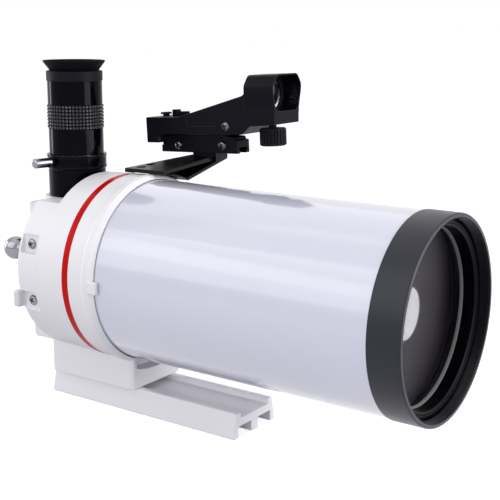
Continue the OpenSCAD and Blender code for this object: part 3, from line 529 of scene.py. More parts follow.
def finish(name, colour, rough, mottle=60, grain=3000, shade=0.2, swing=0.06, bump=0.03, gloss=0.5,
           soft=0, edge=0, edge_width=0.4, edge_highlight_colour=None, dust=0, **shader_values):
    """A surface with mottled colour, grain, a painted highlight with wear on its edges and dust;
    other values go on the shader.
    """
    if name in bpy.data.materials:
        raise RuntimeError(f"the frame already has a material named {name}")
    material = bpy.data.materials.new(name)
    material.use_nodes = True
    tree = material.node_tree
    shader = tree.nodes["Principled BSDF"]
    for key, value in shader_values.items():
        feed(tree, shader.inputs[key.replace("_", " ").title().replace("Ior", "IOR")], value)
    place = add_node(tree, "ShaderNodeTexCoord")
    texture = add_node(tree, "ShaderNodeGroup", {
        "Vector": place.outputs["Object"], "Mottle Scale": mottle, "Grain Scale": grain},
        node_tree=bpy.data.node_groups["Surface grain"]).outputs
    tone = mixed(tree, texture["Mottle"], colour, [c * (1 - shade) for c in colour])
    # Lighter colour on the outer edges: a painted highlight along the edges, partly wear.
    if edge > 0:
        highlight_and_wear = add_node(tree, "ShaderNodeGroup", {"Width": edge_width * MM},
                        node_tree=bpy.data.node_groups["Edge highlight and wear"])
        lighter = edge_highlight_colour or [min(1, c * 1.6 + 0.02) for c in colour]
        tone = mixed(tree, ranged(tree, highlight_and_wear.outputs["Edge"], 0, edge), tone, lighter)
    if dust > 0:
        tone = mixed(tree, ranged(tree, texture["Dust"], 0, dust), tone, DUST_GREY)
    relief = add_node(tree, "ShaderNodeBump", {
        "Strength": bump, "Distance": GRAIN_HEIGHT * MM, "Height": texture["Grain"]})
    if soft > 0:
        corner = add_node(tree, "ShaderNodeBevel", {"Radius": soft * MM}, samples=BEVEL_SAMPLES)
        feed(tree, relief.inputs["Normal"], corner.outputs["Normal"])
    feed(tree, shader.inputs["Base Color"], tone)
    feed(tree, shader.inputs["Roughness"],
         ranged(tree, texture["Mottle"], rough - swing, rough + swing))
    feed(tree, shader.inputs["Specular IOR Level"], gloss)
    feed(tree, shader.inputs["Normal"], relief.outputs["Normal"])


class TelescopeStep(bpy.types.Operator):
    """One step of the telescope's making"""
    bl_idname = "telescope.step"
    bl_label = "Step"
    bl_options = {"INTERNAL"}

    def execute(self, context):
        self.make(context.scene.telescope_sizes, context.scene.telescope_colours)
        return {"FINISHED"}

    def make(self, sizes, colours):
        """Models what the step stands for."""
        raise RuntimeError(f"{self.bl_idname} has nothing to make")


class TelescopeFinishes(TelescopeStep):
    """Builds the shared textures and all the finishes"""
    bl_idname = "telescope.finishes"
    bl_label = "Finishes"

    def make(self, sizes, colours):
        grain_group()
        edge_group()
        self.whites(colours)
        self.blacks(colours)
        self.metals()

    def whites(self, colours):
        """The painted and pale pieces."""
        finish("tube_gloss_white", colours.tube_white, 0.2, mottle=14, grain=1300, shade=0.02,
               swing=0.03, bump=0.012, dust=0.02, coat_weight=1.0, coat_roughness=0.05)
        finish("moulded_white", colours.cell_white, 0.4, mottle=40, grain=2600, shade=0.03,
               swing=0.05, soft=0.9, dust=0.02, gloss=0.3)
        # The bar's lighter edges are a painted highlight along the edges, partly wear.
        finish("bar_white", colours.cell_white, 0.34, mottle=26, grain=2200, shade=0.03,
               swing=0.04, soft=0.6, edge=0.15, dust=0.02)
        finish("band_gloss_red", colours.band_red, 0.26, mottle=30, grain=1500, shade=0.1,
               swing=0.04, bump=0.01, gloss=0.07)
        finish("lever_plastic", colours.lever_grey, 0.4, grain=2600, shade=0.06, soft=0.4)
        finish("spacer_grey", paint(112, 116, 114), 0.5, grain=2600, shade=0.15)

    def blacks(self, colours):
        """The black metal, plastic and rubber pieces."""
        # The lighter edge colours of the black finishes are painted highlights along their edges,
        # partly wear; the holder's pale edge is a painted highlight on its collar's chamfer.
        finish("ring_satin_black", colours.ring_black, 0.34, grain=1400, bump=0.16,
               edge=0.6, edge_width=0.35, gloss=0.3)
        finish("ring_inside_black", colours.gloss_black, 0.3, mottle=20, grain=3200, swing=0.03,
               bump=0, edge=0.5, edge_width=0.2, edge_highlight_colour=paint(84, 84, 92), gloss=0.06)
        finish("eyepiece_gloss_black", colours.gloss_black, 0.09, mottle=50, grain=2500, swing=0.02,
               bump=0.006, edge=0.5, edge_width=0.25, edge_highlight_colour=paint(70, 70, 78), gloss=0.05)
        finish("holder_gloss_black", colours.gloss_black, 0.1, mottle=50, grain=2500, swing=0.02,
               bump=0.006, edge=0.9, edge_width=0.3, edge_highlight_colour=paint(150, 150, 156), gloss=0.045)
        finish("cap_satin_black", colours.finder_black, 0.5, bump=0.05,
               edge=0.3, edge_width=0.3, gloss=0.08)
        # The grip's bumps are lighter than the sleeve's rubber: a painted highlight on the bump
        # tops.
        finish("grip_bump_black", paint(40, 39, 46), 0.26, shade=0.25, bump=0.04,
               edge=0.7, edge_width=0.25, edge_highlight_colour=paint(112, 111, 118), gloss=0.36)
        finish("soft_rubber", colours.rubber_black, 0.66, mottle=70, grain=3800, shade=0.25,
               bump=0.1, edge=0.15, edge_width=0.35, gloss=0.05)
        finish("finder_plastic", colours.finder_black, 0.34, mottle=80, grain=4200, shade=0.25,
               swing=0.07, bump=0.06, soft=0.35, edge=0.4, edge_width=0.35,
               edge_highlight_colour=paint(80, 79, 88), gloss=0.06)
        finish("bracket_plastic", colours.gloss_black, 0.3, grain=3400, bump=0.06, soft=0.3,
               edge=0.4, edge_highlight_colour=paint(72, 72, 78), gloss=0.16)
        finish("inside_matt_black", (0.012, 0.012, 0.014), 0.7, mottle=12, grain=2000, bump=0,
               gloss=0.1)

    def metals(self):
        """The bare metal, the mirrors and the glass."""
        finish("polished_steel", (0.52, 0.52, 0.55), 0.22, mottle=120, swing=0.08, bump=0.02,
               metallic=1.0)
        finish("knob_steel", (0.3, 0.3, 0.345), 0.16, mottle=120, shade=0.3, bump=0.02,
               metallic=1.0)
        finish("screw_steel", (0.13, 0.13, 0.145), 0.2, mottle=120, shade=0.3, bump=0.02,
               metallic=1.0)
        finish("plain_aluminium", (0.5, 0.5, 0.52), 0.36, mottle=90, grain=2400, shade=0.12,
               bump=0.04, metallic=1.0)
        # The pale edge of the blackened steel is a painted highlight along the edges, partly wear.
        finish("blackened_steel", paint(34, 34, 38), 0.3, mottle=120, shade=0.25, swing=0.08,
               edge=0.7, edge_width=0.2, edge_highlight_colour=paint(128, 128, 134), gloss=0.3)
        finish("silvered_mirror", (0.97, 0.97, 1.0), 0.04, mottle=30, grain=900, shade=0.03,
               swing=0.015, bump=0, metallic=1.0)
        finish("violet_coated_glass", (0.99, 0.98, 1.0), 0.25, mottle=20, grain=700, shade=0.02,
               swing=0.01, bump=0, transmission_weight=1.0, ior=1.2,
               specular_tint=(0.85, 0.62, 1.0))


class TelescopeTube(TelescopeStep):
    """Turns the white tube and its black front ring"""
    bl_idname = "telescope.tube"
    bl_label = "Tube and front ring"

    def make(self, sizes, colours):
        faces = sizes.turning_steps
        r = sizes.tube_radius / MM
        front = sizes.tube_front / MM
        back, wall = -14, 1.5
        shell = turned("tube_shell", [
            (r, back, 0.2), (r, front, 0.2), (r - wall, front, 0.2), (r - wall, back, 0.2)],
            TUBE, faces, ring=True)
        settle(smooth(shell), "optical_tube", "tube_white", "tube_gloss_white", "main_tube")
        line(shell, r - wall / 2, "inside_matt_black")

        lip = front + RING_LENGTH
        bore, sleeve, shoulder, sleeve_back = r - 2.8, r - wall - 0.1, lip - 22.7, front - 12
        turns, pitch, depth = 6, 0.8, 0.4
        thread = []
        for turn in range(turns):
            thread += [(bore, lip - 0.9 - turn * pitch), (bore + depth, lip - 1.3 - turn * pitch)]
        ring = turned("front_ring_turned", [
            (r + 0.5, front, 0.4), (r + 0.5, lip, 0.9), (bore + 0.9, lip, 0.35), *thread,
            (bore, lip - 5.8), (bore, shoulder), (50, shoulder), (50, sleeve_back),
            (sleeve, sleeve_back), (sleeve, front)], TUBE, faces, ring=True, steps=5)
        settle(smooth(ring, 25), "optical_tube", "black_metal", "ring_satin_black", "front_ring")
        line(ring, bore + 1.4, "ring_inside_black")

        seat = lip - 16.2
        retainer = turned("corrector_retainer_turned", [
            (49.7, seat, 0.1), (LENS_RADIUS, seat, 0.1), (LENS_RADIUS, seat + 10.3, 0.5),
            (51.6, seat + 10.3, 0.5), (51.0, seat + 9.4, 0.3), (49.7, seat + 9.0, 0.5)],
            TUBE, faces, ring=True)
        settle(smooth(retainer, 25), "optical_tube", "black_metal", "ring_inside_black",
               "corrector_retainer")

        spacer = turned("lens_spacer_turned", [
            (48.9, seat + 0.05, 0.2), (49.65, seat + 0.05), (49.65, seat + 2.0),
            (49.2, seat + 2.0, 0.2)], TUBE, faces, ring=True, steps=3)
        settle(smooth(spacer), "optical_tube", "grey_plastic", "spacer_grey")


class TelescopeCorrector(TelescopeStep):
    """Turns the hollow front lens"""
    bl_idname = "telescope.corrector"
    bl_label = "Front lens"

    def make(self, sizes, colours):
        edge, sag, thick, rings = 50.0, 5.5, 6.5, 24
        seat = sizes.tube_front / MM + 3.0
        curve = (edge * edge + sag * sag) / (2 * sag)
        radii = [edge * i / rings for i in range(rings + 1)]
        bowl = [(radius, curve - math.sqrt(curve * curve - radius * radius) - sag)
                for radius in radii]
        lens = turned("corrector_lens_turned", [
            *((radius, seat + z) for radius, z in bowl),
            (LENS_RADIUS, seat, 0.3), (LENS_RADIUS, seat - thick, 0.3),
            *((radius, seat - thick + z) for radius, z in reversed(bowl))],
            TUBE, sizes.turning_steps, steps=3)
        settle(smooth(lens, 25), "optical_tube", "coated_glass", "violet_coated_glass",
               "corrector_lens")


class TelescopeCell(TelescopeStep):
    """Shapes the white rear cell with its box, foot, pockets and red band"""
    bl_idname = "telescope.cell"
    bl_label = "Rear cell"

    def make(self, sizes, colours):
        faces = sizes.turning_steps
        cell = turned("rear_cell_shell", [
            (0, -66), (58.1, -66, 2.2), (58.1, -46.3), (58.4, -46), (59.3, -9.6, 0.9),
            (59.9, -8.5, 0.6), (59.9, -4.4, 2.0), (57.9, -1.2, 0.3), (0, -1.2)],
            TUBE, faces, steps=6)
        box = slab("mirror_box", (-95, -BOX_SIDE, BOX_LOW), (-45, BOX_SIDE, BOX_HIGH), 1.6)
        cut(box, slab("box_end", (-110, -30, -60), (-86.95, 30, 50)))
        cut(cell, slab("above_shoulders", (-80, -70, 43.3), (-45.5, 70, 80)))
        foot = prism("foot", [
            (-71.45, -24), (-4.2, -24), (-2.2, -22.4), (-2.2, 22.4), (-4.2, 24), (-71.45, 24)],
            -74.4, -46, BODY)
        unite(cell, box, soften(foot, 0.5, 3))
        cut(cell, slab("platform_room", (-80, -24.5, 38.02), (-45.9, 24.5, 60)))
        unite(cell, turned("boss", [(0, 37), (21.5, 37), (21.5, 42.2, 0.9), (0, 42.2)], EYE),
              slab("tab", (-4.5, -60.2, -3.8), (2.4, -57.45, 3.8), 0.7))
        cut(cell,
            turned("tube_seat", [
                (0, -42), (53.5, -42), (53.5, -14.1), (57.15, -14.1), (57.15, -2.6), (57.5, -2.6),
                (57.5, 1), (0, 1)], TUBE, faces),
            slab("box_room", (-90, -19, -50.5), (-41.8, 19, 34.5), 0.8),
            rod("holder_hole", 18.2, 30, 50, EYE),
            self.foot_pocket())
        for side, facing in (("near", -1), ("far", 1)):
            low, high = sorted((facing * POCKET_FLOOR, facing * 70))
            cut(cell,
                slab("upper_pocket_" + side, (-63.2, low, 13.2), (-49.5, high, 25), 1.6),
                slab("lower_pocket_" + side, (-64.4, low, -24), (-51, high, -11), 1.6))
        settle(smooth(cell, 28, CELL_SLIVER), "optical_tube", "cell_white", "moulded_white",
               "rear_cell")

        gap = math.asin(23.5 / 58.4)
        band = arc_band("red_band_turned", [
            (57.4, -26.1), (59.0, -26.1, 0.2), (59.1, -21, 0.2), (57.4, -21)],
            TUBE, math.pi + gap, FULL_TURN - 2 * gap, faces)
        settle(smooth(band, 40), "optical_tube", "red_paint", "band_gloss_red", "red_band")

    def foot_pocket(self):
        """The curved room in the front of the foot, under the tube."""
        radius, half_width, half_steps = 64.2, 19.5, 6
        reach = math.asin(half_width / radius)
        angles = [reach * (k / half_steps - 1) for k in range(2 * half_steps + 1)]
        outline = [(-radius * math.cos(a), radius * math.sin(a)) for a in angles]
        outline += [(-49, half_width), (-49, -half_width)]
        return prism("foot_pocket", outline, -12, 6, TUBE)


class TelescopeRear(TelescopeStep):
    """Shapes the back cover, the rear port and its cap"""
    bl_idname = "telescope.rear"
    bl_label = "Back cover and port"

    def make(self, sizes, colours):
        cover = prism("back_cover_plate", [
            (-80, BOX_LOW), (COVER_BACK, BOX_LOW, 2.9), (COVER_BACK, BOX_HIGH, 1.0),
            (-80, BOX_HIGH)], -BOX_SIDE, BOX_SIDE, BODY @ SIDEWAYS, steps=5)
        soften(cover, 0.8)
        cut(cover, slab("box_face", (-86.98, -30, -60), (-70, 30, 50)),
            rod("port_hole", 19, -92, -85, TUBE))
        settle(smooth(cover), "optical_tube", "cell_white", "moulded_white", "back_cover")

        port = turned("rear_port_turned", [
            (17, -87), (18.9, -87), (18.9, -90), (21, -90, 0.2), (21, -96, 0.4), (17, -96, 0.4)],
            TUBE, ring=True, steps=3)
        settle(smooth(port), "optical_tube", "black_metal", "ring_satin_black", "rear_port")

        cap = turned("port_cap_turned", [
            (0, -97.6), (15, -97.6, 0.6), (16.2, -98.4, 0.6), (22.6, -98.4, 0.9),
            (22.6, -90.4, 0.3), (21.1, -90.4), (21.1, -96.1), (0, -96.1)], TUBE)
        rib = slab("cap_rib", (22.3, -0.55, -97.2), (23.0, 0.55, -91.2), 0.3, TUBE, segments=1)
        ringed(rib, CAP_RIBS, TUBE, (1, 0, 0))
        settle(smooth(gather(cap, rib)), "rear_cap", "black_plastic", "finder_plastic", "port_cap")


class TelescopeBar(TelescopeStep):
    """Extrudes the dovetail bar"""
    bl_idname = "telescope.bar"
    bl_label = "Dovetail bar"

    def make(self, sizes, colours):
        half = [(22, 0, 1.0), (18.7, 15.6, 0.9), (14.5, 15.6, 0.5), (14.5, 12.1, 0.8)]
        inner = [(3.5, 0, 0.9), (3.5, 7, 0.8), (17, 7, 0.8), (17, 0, 0.9)]
        outline = half + mirrored(half) + mirrored(inner) + inner
        length = sizes.bar_half_length / MM
        bar = prism("dovetail_bar_section", outline, -length, length, LENGTHWAYS)
        soften(bar, 0.5, angle=50)
        socket = at(WORLD, 32, 0, 0)
        unite(bar, rod("tripod_pad", 7, 0, 9, socket, 64))
        cut(bar, turned("tripod_hole", [
            (0, -1), (3.9, -1), (3.175, 0.6), (3.175, 9), (0, 9)], socket, 48))
        settle(smooth(bar, 30), "optical_tube", "cell_white", "bar_white", "dovetail_bar")


class TelescopeEyepiece(TelescopeStep):
    """Turns the eyepiece, its holder and its bumpy grip"""
    bl_idname = "telescope.eyepiece"
    bl_label = "Eyepiece and holder"

    def make(self, sizes, colours):
        holder = turned("eyepiece_holder_turned", [
            (15.93, 34.5), (18.0, 34.5), (18.0, 42.25), (18.6, 42.25, 0.2), (18.6, 59.9, 0.3),
            (19.4, 60.6, 0.3), (19.4, 61.4, 0.3), (19.1, 61.8, 0.2), (19.1, 67.6, 0.2),
            (19.4, 68.0, 0.3), (19.4, 69.2, 0.35), (15.93, 69.2, 0.3)],
            EYE, EYE_FACES, ring=True, steps=3)
        settle(smooth(holder, 25), "optical_tube", "black_metal", "holder_gloss_black",
               "eyepiece_holder")

        grip_top = GRIP_LOW + GRIP_HEIGHT
        body = turned("eyepiece_body_turned", [
            (15.2, 69.35), (17.6, 69.35, 0.4), (17.6, GRIP_LOW, 0.2), (16.6, GRIP_LOW),
            (16.6, grip_top), (17.6, grip_top, 0.2), (17.6, 116.15, 0.2), (8, 116.15), (8, 113.2),
            (9.1, 113.2), (9.1, 108.2), (12.1, 108.2), (12.1, 78.3), (15.2, 78.3)],
            EYE, EYE_FACES, ring=True, steps=3)
        settle(smooth(body, 25), "eyepiece", "black_metal", "eyepiece_gloss_black", "eyepiece_body")

        self.grip(sizes.grip_rows, sizes.grip_columns)

        ring = turned("cap_ring_turned", [
            (10, 116.2), (18, 116.2, 0.3), (18, 122.45, 0.5), (12.2, 122.45, 0.3)],
            EYE, EYE_FACES, ring=True, steps=3)
        settle(smooth(ring, 25), "eyepiece", "black_rubber", "cap_satin_black", "cap_ring")

        cup = turned("eyecup_turned", [
            (14.0, 122.5), (15.7, 122.5, 0.2), (16.2, 123.4, 1.5), (20, 128.5, 0.4),
            (19.6, 129.1, 0.3), (18.6, 129.0, 0.3)], EYE, EYE_FACES, ring=True)
        settle(smooth(cup, 30), "eyepiece", "black_rubber", "soft_rubber", "eyecup")

    def grip(self, rows, bumps_round):
        """The rubber sleeve and the bumps that stand on it."""
        sleeve = turned("grip_sleeve", [
            (16.7, 85.9), (17.55, 85.9, 0.2), (17.55, 101, 0.2), (16.7, 101)],
            EYE, EYE_FACES, ring=True)
        pitch = GRIP_HEIGHT / rows
        bump = slab("grip_bumps", (17.4, -0.8, GRIP_LOW + 0.12 * pitch),
                    (18.2, 0.8, GRIP_LOW + 0.88 * pitch), place=EYE)
        edit(bump, bpy.ops.mesh.bevel, offset=0.5 * MM, segments=1, affect="EDGES",
             clamp_overlap=True)
        apply_modifier(bump, "ARRAY", count=rows, use_relative_offset=False,
                       use_constant_offset=True, constant_offset_displace=(0, 0, pitch * MM))
        ringed(bump, bumps_round, EYE, (0, 0, 1))
        settle(smooth(sleeve), "eyepiece", "black_rubber", "soft_rubber", "grip_band")
        # The bumps' lighter finish is a painted highlight on their tops.
        settle(smooth(bump, 20), "eyepiece", "black_rubber", "grip_bump_black")


class TelescopeControls(TelescopeStep):
    """Makes the focus knob, the flip lever and the thumbscrew"""
    bl_idname = "telescope.controls"
    bl_label = "Knob, lever and thumbscrew"

    def make(self, sizes, colours):
        focus = at(TUBE, 11.7, 44, 0)
        ball, middle = 7.4, -81
        angles = [math.radians(7 * i) for i in range(21)]
        knob = turned("focus_knob_turned", [
            *((ball * math.sin(a), middle - ball * math.cos(a)) for a in angles),
            (4.6, -74.9, 0.2), (4.6, -73.4, 0.4), (3.1, -73.4), (3.1, -82), (0, -82)],
            focus, 64, steps=3)
        settle(smooth(knob, 35), "focuser", "bright_steel", "knob_steel", "focus_knob")

        bushing = turned("focus_bushing_turned", [
            (3.05, -68), (7.6, -68, 0.5), (8, -67, 0.3), (8, -66, 0.1), (6, -66), (6, -62.5),
            (3.05, -62.5)], focus, 64, ring=True, steps=3)
        settle(smooth(bushing), "optical_tube", "bushing_brass", "plain_aluminium", "focus_bushing")

        pivot = at(BODY, -83, 0, -22.5) @ SIDEWAYS
        lever = slab("flip_lever_paddle", (-85.7, -44.2, -28), (-80.3, -27, -17), 1.4, segments=4)
        shaft = rod("flip_lever_shaft", 2, 16.9, 28, pivot, 32)
        crank = prism("flip_crank", [(-1.5, 0), (-1.5, -8), (1.5, -8), (1.5, 0)], 16.9, 18.7,
                      pivot @ Matrix.Rotation(math.radians(30), 4, "Z"))
        settle(smooth(gather(lever, shaft, crank)), "flip_lever_arm", "grey_plastic",
               "lever_plastic", "flip_lever")

        turn = math.radians(260)
        thumb = columns((EYE_X, 0, AXIS_HEIGHT + 65), (0, 0, 1),
                        (math.sin(turn), -math.cos(turn), 0), (math.cos(turn), math.sin(turn), 0))
        screw = turned("thumbscrew_turned", [
            (0, 16.3), (2, 16.3, 0.2), (2, 20.4, 0.1), (2.9, 20.4, 0.3), (3.15, 21.4, 0.3),
            (3.2, 31.2, 0.4), (2.95, 31.6, 0.2), (3.2, 32.0, 0.3), (3.1, 32.8, 0.8),
            (2.0, 33.8, 0.9), (0, 33.8)], thumb, 48, steps=3)
        settle(smooth(screw, 30), "eyepiece_clamp", "bright_steel", "knob_steel", "thumbscrew")


class TelescopeBracket(TelescopeStep):
    """Shapes the wedge bracket that carries the finder"""
    bl_idname = "telescope.bracket"
    bl_label = "Finder bracket"

    def make(self, sizes, colours):
        across = BODY @ LENGTHWAYS
        wedge = prism("finder_bracket_wedge", [
            (1.5, 47.8), (1.5, 62.4), (68, 68.1), (68, 63.5), (25, 54.2), (25, 47.8)],
            -27.4, 5.4, across)
        nudge(wedge, lambda x, y, z: x > 0 and z > 150, (0, 0, 0.6))
        soften(wedge, 0.4)
        cut(wedge,
            prism("taper", [(-40, 0), (-27.4, 1.5), (-12, 53), (-8, 68), (-8, 80), (-40, 80)],
                  40, 80, BODY),
            slab("plate_underside", (-40, -5, 130), (-9, 40, 149.8), place=WORLD),
            slab("edge_underside", (-20, -5, 130), (9, 9, 150.2), place=WORLD))
        hollow = prism("bracket_hollow", [
            (3.4, 47.8), (3.4, 60.4), (56, 63.9), (56, 62.9), (25, 56.4), (25, 47.8)],
            -8, 8, across)
        nudge(hollow, lambda x, y, z: x > 0 and z > 149, (0, 0, 0.9))
        cut(hollow, rod("hollow_floor", 60.8, -30, 12, TUBE, 128))
        cut(wedge, hollow, rod("rim_saddle", 59.95, -14, 8, TUBE, 160),
            turned("collar_saddle", [(0, -28), (58.95, -28), (59.3, -13.9), (0, -13.9)], TUBE, 160))
        for y in BRACKET_SCREWS_Y:
            cut(wedge, rod("screw_seat", 3.0, 61.2, 70, at(BODY, BRACKET_SCREW_X, y, 0), 32))
        unite(wedge, prism("finder_rail", [
            (-3.2, -6), (3.2, -6), (3.2, 0.4), (4.4, 2.6), (4.4, 3.4), (-4.4, 3.4), (-4.4, 2.6),
            (-3.2, 0.4)], -11.0, 8.0, FINDER @ LENGTHWAYS))
        settle(smooth(wedge), "optical_tube", "black_plastic", "bracket_plastic", "finder_bracket")


class TelescopeFinder(TelescopeStep):
    """Models the dot finder: clamp, body, hood, dial and small parts"""
    bl_idname = "telescope.finder"
    bl_label = "Dot finder"

    def make(self, sizes, colours):
        side = FINDER @ SIDEWAYS
        along = FINDER @ LENGTHWAYS
        self.clamp(side, along)
        self.body(side, along)
        self.small_parts(along)
        self.dial(sizes.dial_ribs)

    def clamp(self, side, along):
        """The long clamp that grips the rail."""
        clamp = prism("finder_clamp_block", [
            (-34.3, 0.2, 0.4), (27.8, -0.5, 0.5), (27.8, 8.0, 0.3), (25.6, 8.3, 0.3),
            (25.2, 10.2, 1.0), (20.6, 10.6, 1.2), (19.8, 11.5, 0.3), (-21, 11.5, 0.3),
            (-26.6, 10.9, 0.3), (-28.2, 11.2, 1.4), (-31, 12.2, 1.5), (-33.4, 11.0, 1.5),
            (-34.0, 8.6, 1.0), (-33.0, 5.2, 0.4), (-34.3, 4.6, 0.3)], -7, 7, side)
        soften(clamp, 0.4)
        cut(clamp, prism("rail_slot", [
            (-3.3, -2), (3.3, -2), (3.3, 0.4), (4.5, 2.5), (4.5, 3.5), (-4.5, 3.5), (-4.5, 2.5),
            (-3.3, 0.4)], -40, 40, along))
        settle(smooth(clamp), "optical_tube", "black_plastic", "finder_plastic", "finder_clamp")

    def body(self, side, along):
        """The body with its slope, belly and hood."""
        body = prism("finder_body_block", [
            (-41, 6.8, 0.6), (-30.5, 6.8, 0.3), (-28.4, 12.6, 3.0), (37.0, 12.5, 0.8),
            (43.2, 17.5, 0.8), (62.0, 18.6, 0.5), (62.4, 26.6, 0.4), (46.5, 26.6), (46.5, 41.0),
            (41.4, 41.0), (40.6, 38.8, 1.5), (38.0, 36.6, 3.0), (-13.8, 23.6, 2.0),
            (-41, 23.6, 0.6)], -14, 14, side)
        soften(body, 0.5)
        outer = [(14, 26.0), (14, 29.0, 6.0), (16.2, 39.0, 8.0), (16.2, 43.0, 5.0),
                 (11.4, 49.3, 4.5)]
        inner = [(10.4, 26.6, 1.0), (13.2, 29.6, 5.0), (15.4, 39.0, 7.5), (15.4, 43.0, 4.6),
                 (10.9, 48.5, 4.1)]
        hood = prism("hood", outer + mirrored(outer), 39.0, 66, along, steps=9)
        cut(hood,
            prism("hood_back", [(30, 30), (40.9, 30), (41.2, 38), (41.8, 51), (30, 51)],
                  -20, 20, side),
            prism("hood_front", [
                (62.0, 16), (62.4, 26.6), (63.6, 49.5), (63.7, 52), (70, 52), (70, 16)],
                -20, 20, side))
        unite(body, hood)
        cut(body, prism("hood_room", inner + mirrored(inner), 41, 70, along, steps=9),
            slab("light_path", (-7.8, -6, 23.0), (44, 6, 42), 0.4, FINDER),
            slab("under_room", (-22, -12, 0), (35.5, 12, 19.6), 0.5, FINDER),
            slab("hinge_room", (-39, -7.4, 0), (-24, 7.4, 13.9), 0.4, FINDER),
            slab("label_recess", (-6.6, -20, 17.6), (16.4, -13.7, 23.5), 0.25, FINDER, 2))
        settle(smooth(body, 34), "finder", "black_plastic", "finder_plastic", "finder_body")

    def small_parts(self, along):
        """Glass frame, light block and switch."""
        plate = prism("glass_frame_plate", [
            (-11.2, 26.7), (11.2, 26.7), (13.8, 33.5, 2), (13.8, 43, 3), (11, 47.2, 2),
            (-11, 47.2, 2), (-13.8, 43, 3), (-13.8, 33.5, 2)], 48.5, 51.5, along, steps=3)
        middle = at(FINDER, 0, 0, 37.25) @ LENGTHWAYS
        cut(plate, rod("glass_hole", 9.9, 40, 60, middle))
        rim = turned("glass_rim", [
            (9.85, 50.8), (11.2, 50.8), (11.2, 52.6, 0.3), (9.85, 52.6, 0.5)],
            middle, ring=True, steps=3)
        settle(smooth(gather(plate, rim)), "finder", "black_plastic", "finder_plastic",
               "glass_frame")

        light = slab("emitter_tower", (-27.8, -2.2, 23.5), (-23.4, 2.2, 27.9), 0.4, FINDER)
        step = slab("emitter_step", (-23.8, -1.8, 23.5), (-15.6, 1.8, 26.6), 0.5, FINDER)
        settle(smooth(gather(light, step)), "finder", "black_plastic", "finder_plastic",
               "emitter_block")

        button = turned("power_button_turned", [
            (0, 21.6), (2.2, 21.6), (2.2, 24.9), (3.8, 24.9, 0.2), (3.8, 26.2, 0.4),
            (1.6, 26.2, 0.4), (1.2, 26.0, 0.3), (0, 26.0)], at(FINDER, -34.7, 0, 0), 48, steps=3)
        settle(smooth(button), "finder_switch", "black_plastic", "cap_satin_black", "power_button")

    def dial(self, ribs):
        """The ribbed dial under the hood, with its two ends and its stem."""
        place = at(FINDER, DIAL_ALONG, 0, 0)
        outline = []
        for i in range(ribs):
            for share, radius in ((-0.28, 8.5), (0.28, 8.5), (0.42, 7.7), (0.58, 7.7)):
                angle = FULL_TURN * (i + share) / ribs
                outline.append((radius * math.cos(angle), radius * math.sin(angle)))
        dial = prism("finder_dial_ribs", outline, 5.3, 15.3, place)
        soften(dial, 0.18, 1, 25)
        ends = [turned("dial_" + word, [(0, low), (7.9, low, 0.4), (7.9, high, 0.4), (0, high)],
                       place, 64, steps=3)
                for word, low, high in (("top", 14.5, 15.9), ("foot", 4.7, 6.0))]
        stem = rod("dial_stem", 2.5, 15, 23.3, place, 32)
        settle(smooth(gather(dial, *ends, stem), 28), "finder_dial", "black_plastic",
               "finder_plastic", "finder_knob")


class TelescopeScrews(TelescopeStep):
    """Models one cross-head screw and sets its copies"""
    bl_idname = "telescope.screws"
    bl_label = "Cross-head screws"

    def make(self, sizes, colours):
        head = self.head()
        small = Matrix.Scale(2.9 / 3.3, 4)
        near, far, back = BODY @ SIDEWAYS, BODY @ FAR_SIDE, BODY @ BACKWARDS
        finder_near, finder_far = FINDER @ SIDEWAYS, FINDER @ FAR_SIDE
        flanks = ((-57, 18.6), (-58, -17.6))
        spots = {
            "flank_screws": ("optical_tube", "knob_steel",
                             [at(near, x, z, POCKET_FLOOR) for x, z in flanks]
                             + [at(far, -x, z, POCKET_FLOOR) for x, z in flanks]),
            "cover_screws": ("optical_tube", "knob_steel",
                             [at(back, y, z, -COVER_BACK)
                              for y in (-16, 16) for z in (-47.5, 31.5)]),
            "bracket_screws": ("optical_tube", "blackened_steel",
                               [at(BODY, BRACKET_SCREW_X, y, 61.3) @ small
                                for y in BRACKET_SCREWS_Y]),
            "clamp_screws": ("optical_tube", "screw_steel",
                             [at(finder_near, u, 4.8, 7) @ small for u in (-19.7, 16.3)]),
            "body_screws": ("finder", "screw_steel",
                            [at(finder_near, 24.7, 17.6, 14) @ small,
                             at(finder_far, -24.7, 17.6, 14) @ small]),
        }
        for node, (body, metal, places) in spots.items():
            for number, place in enumerate(places):
                turn = Matrix.Rotation(math.radians(25 + 40 * number), 4, "Z")
                screw = twin(head, f"{node}_{number + 1}", place @ turn)
                screw.data.materials[0] = bpy.data.materials[metal]
                carry(screw, body, "bright_steel", *([node] if number == 0 else []))
        discard(head)

    def head(self):
        """A domed head with a cross cut into it, painted matt black down in the cross as painted
        shade.
        """
        head = turned("screw_head", [
            (0, -1.6), (1.5, -1.6), (1.5, 0), (3.3, 0, 0.1), (3.3, 0.5, 0.3), (2.6, 1.35, 0.8),
            (1.2, 1.7, 0.6), (0, 1.75)], WORLD, 40, steps=3)
        for turn in (0, 90):
            cut(head, prism("screw_slot", [(-2.1, 2.4), (-1.1, 0.5), (1.1, 0.5), (2.1, 2.4)],
                            -0.42, 0.42, Matrix.Rotation(math.radians(turn), 4, "Z") @ SIDEWAYS))
        smooth(head, 30)
        # Matt black on the faces down in the cross is painted shade in the recess.
        for surface in ("knob_steel", "inside_matt_black"):
            head.data.materials.append(bpy.data.materials[surface])
        for face in head.data.polygons:
            reach = math.hypot(face.center.x, face.center.y) / MM
            face.material_index = int(0.4 < face.center.z / MM < 1.4 and reach < 2.0)
        return head


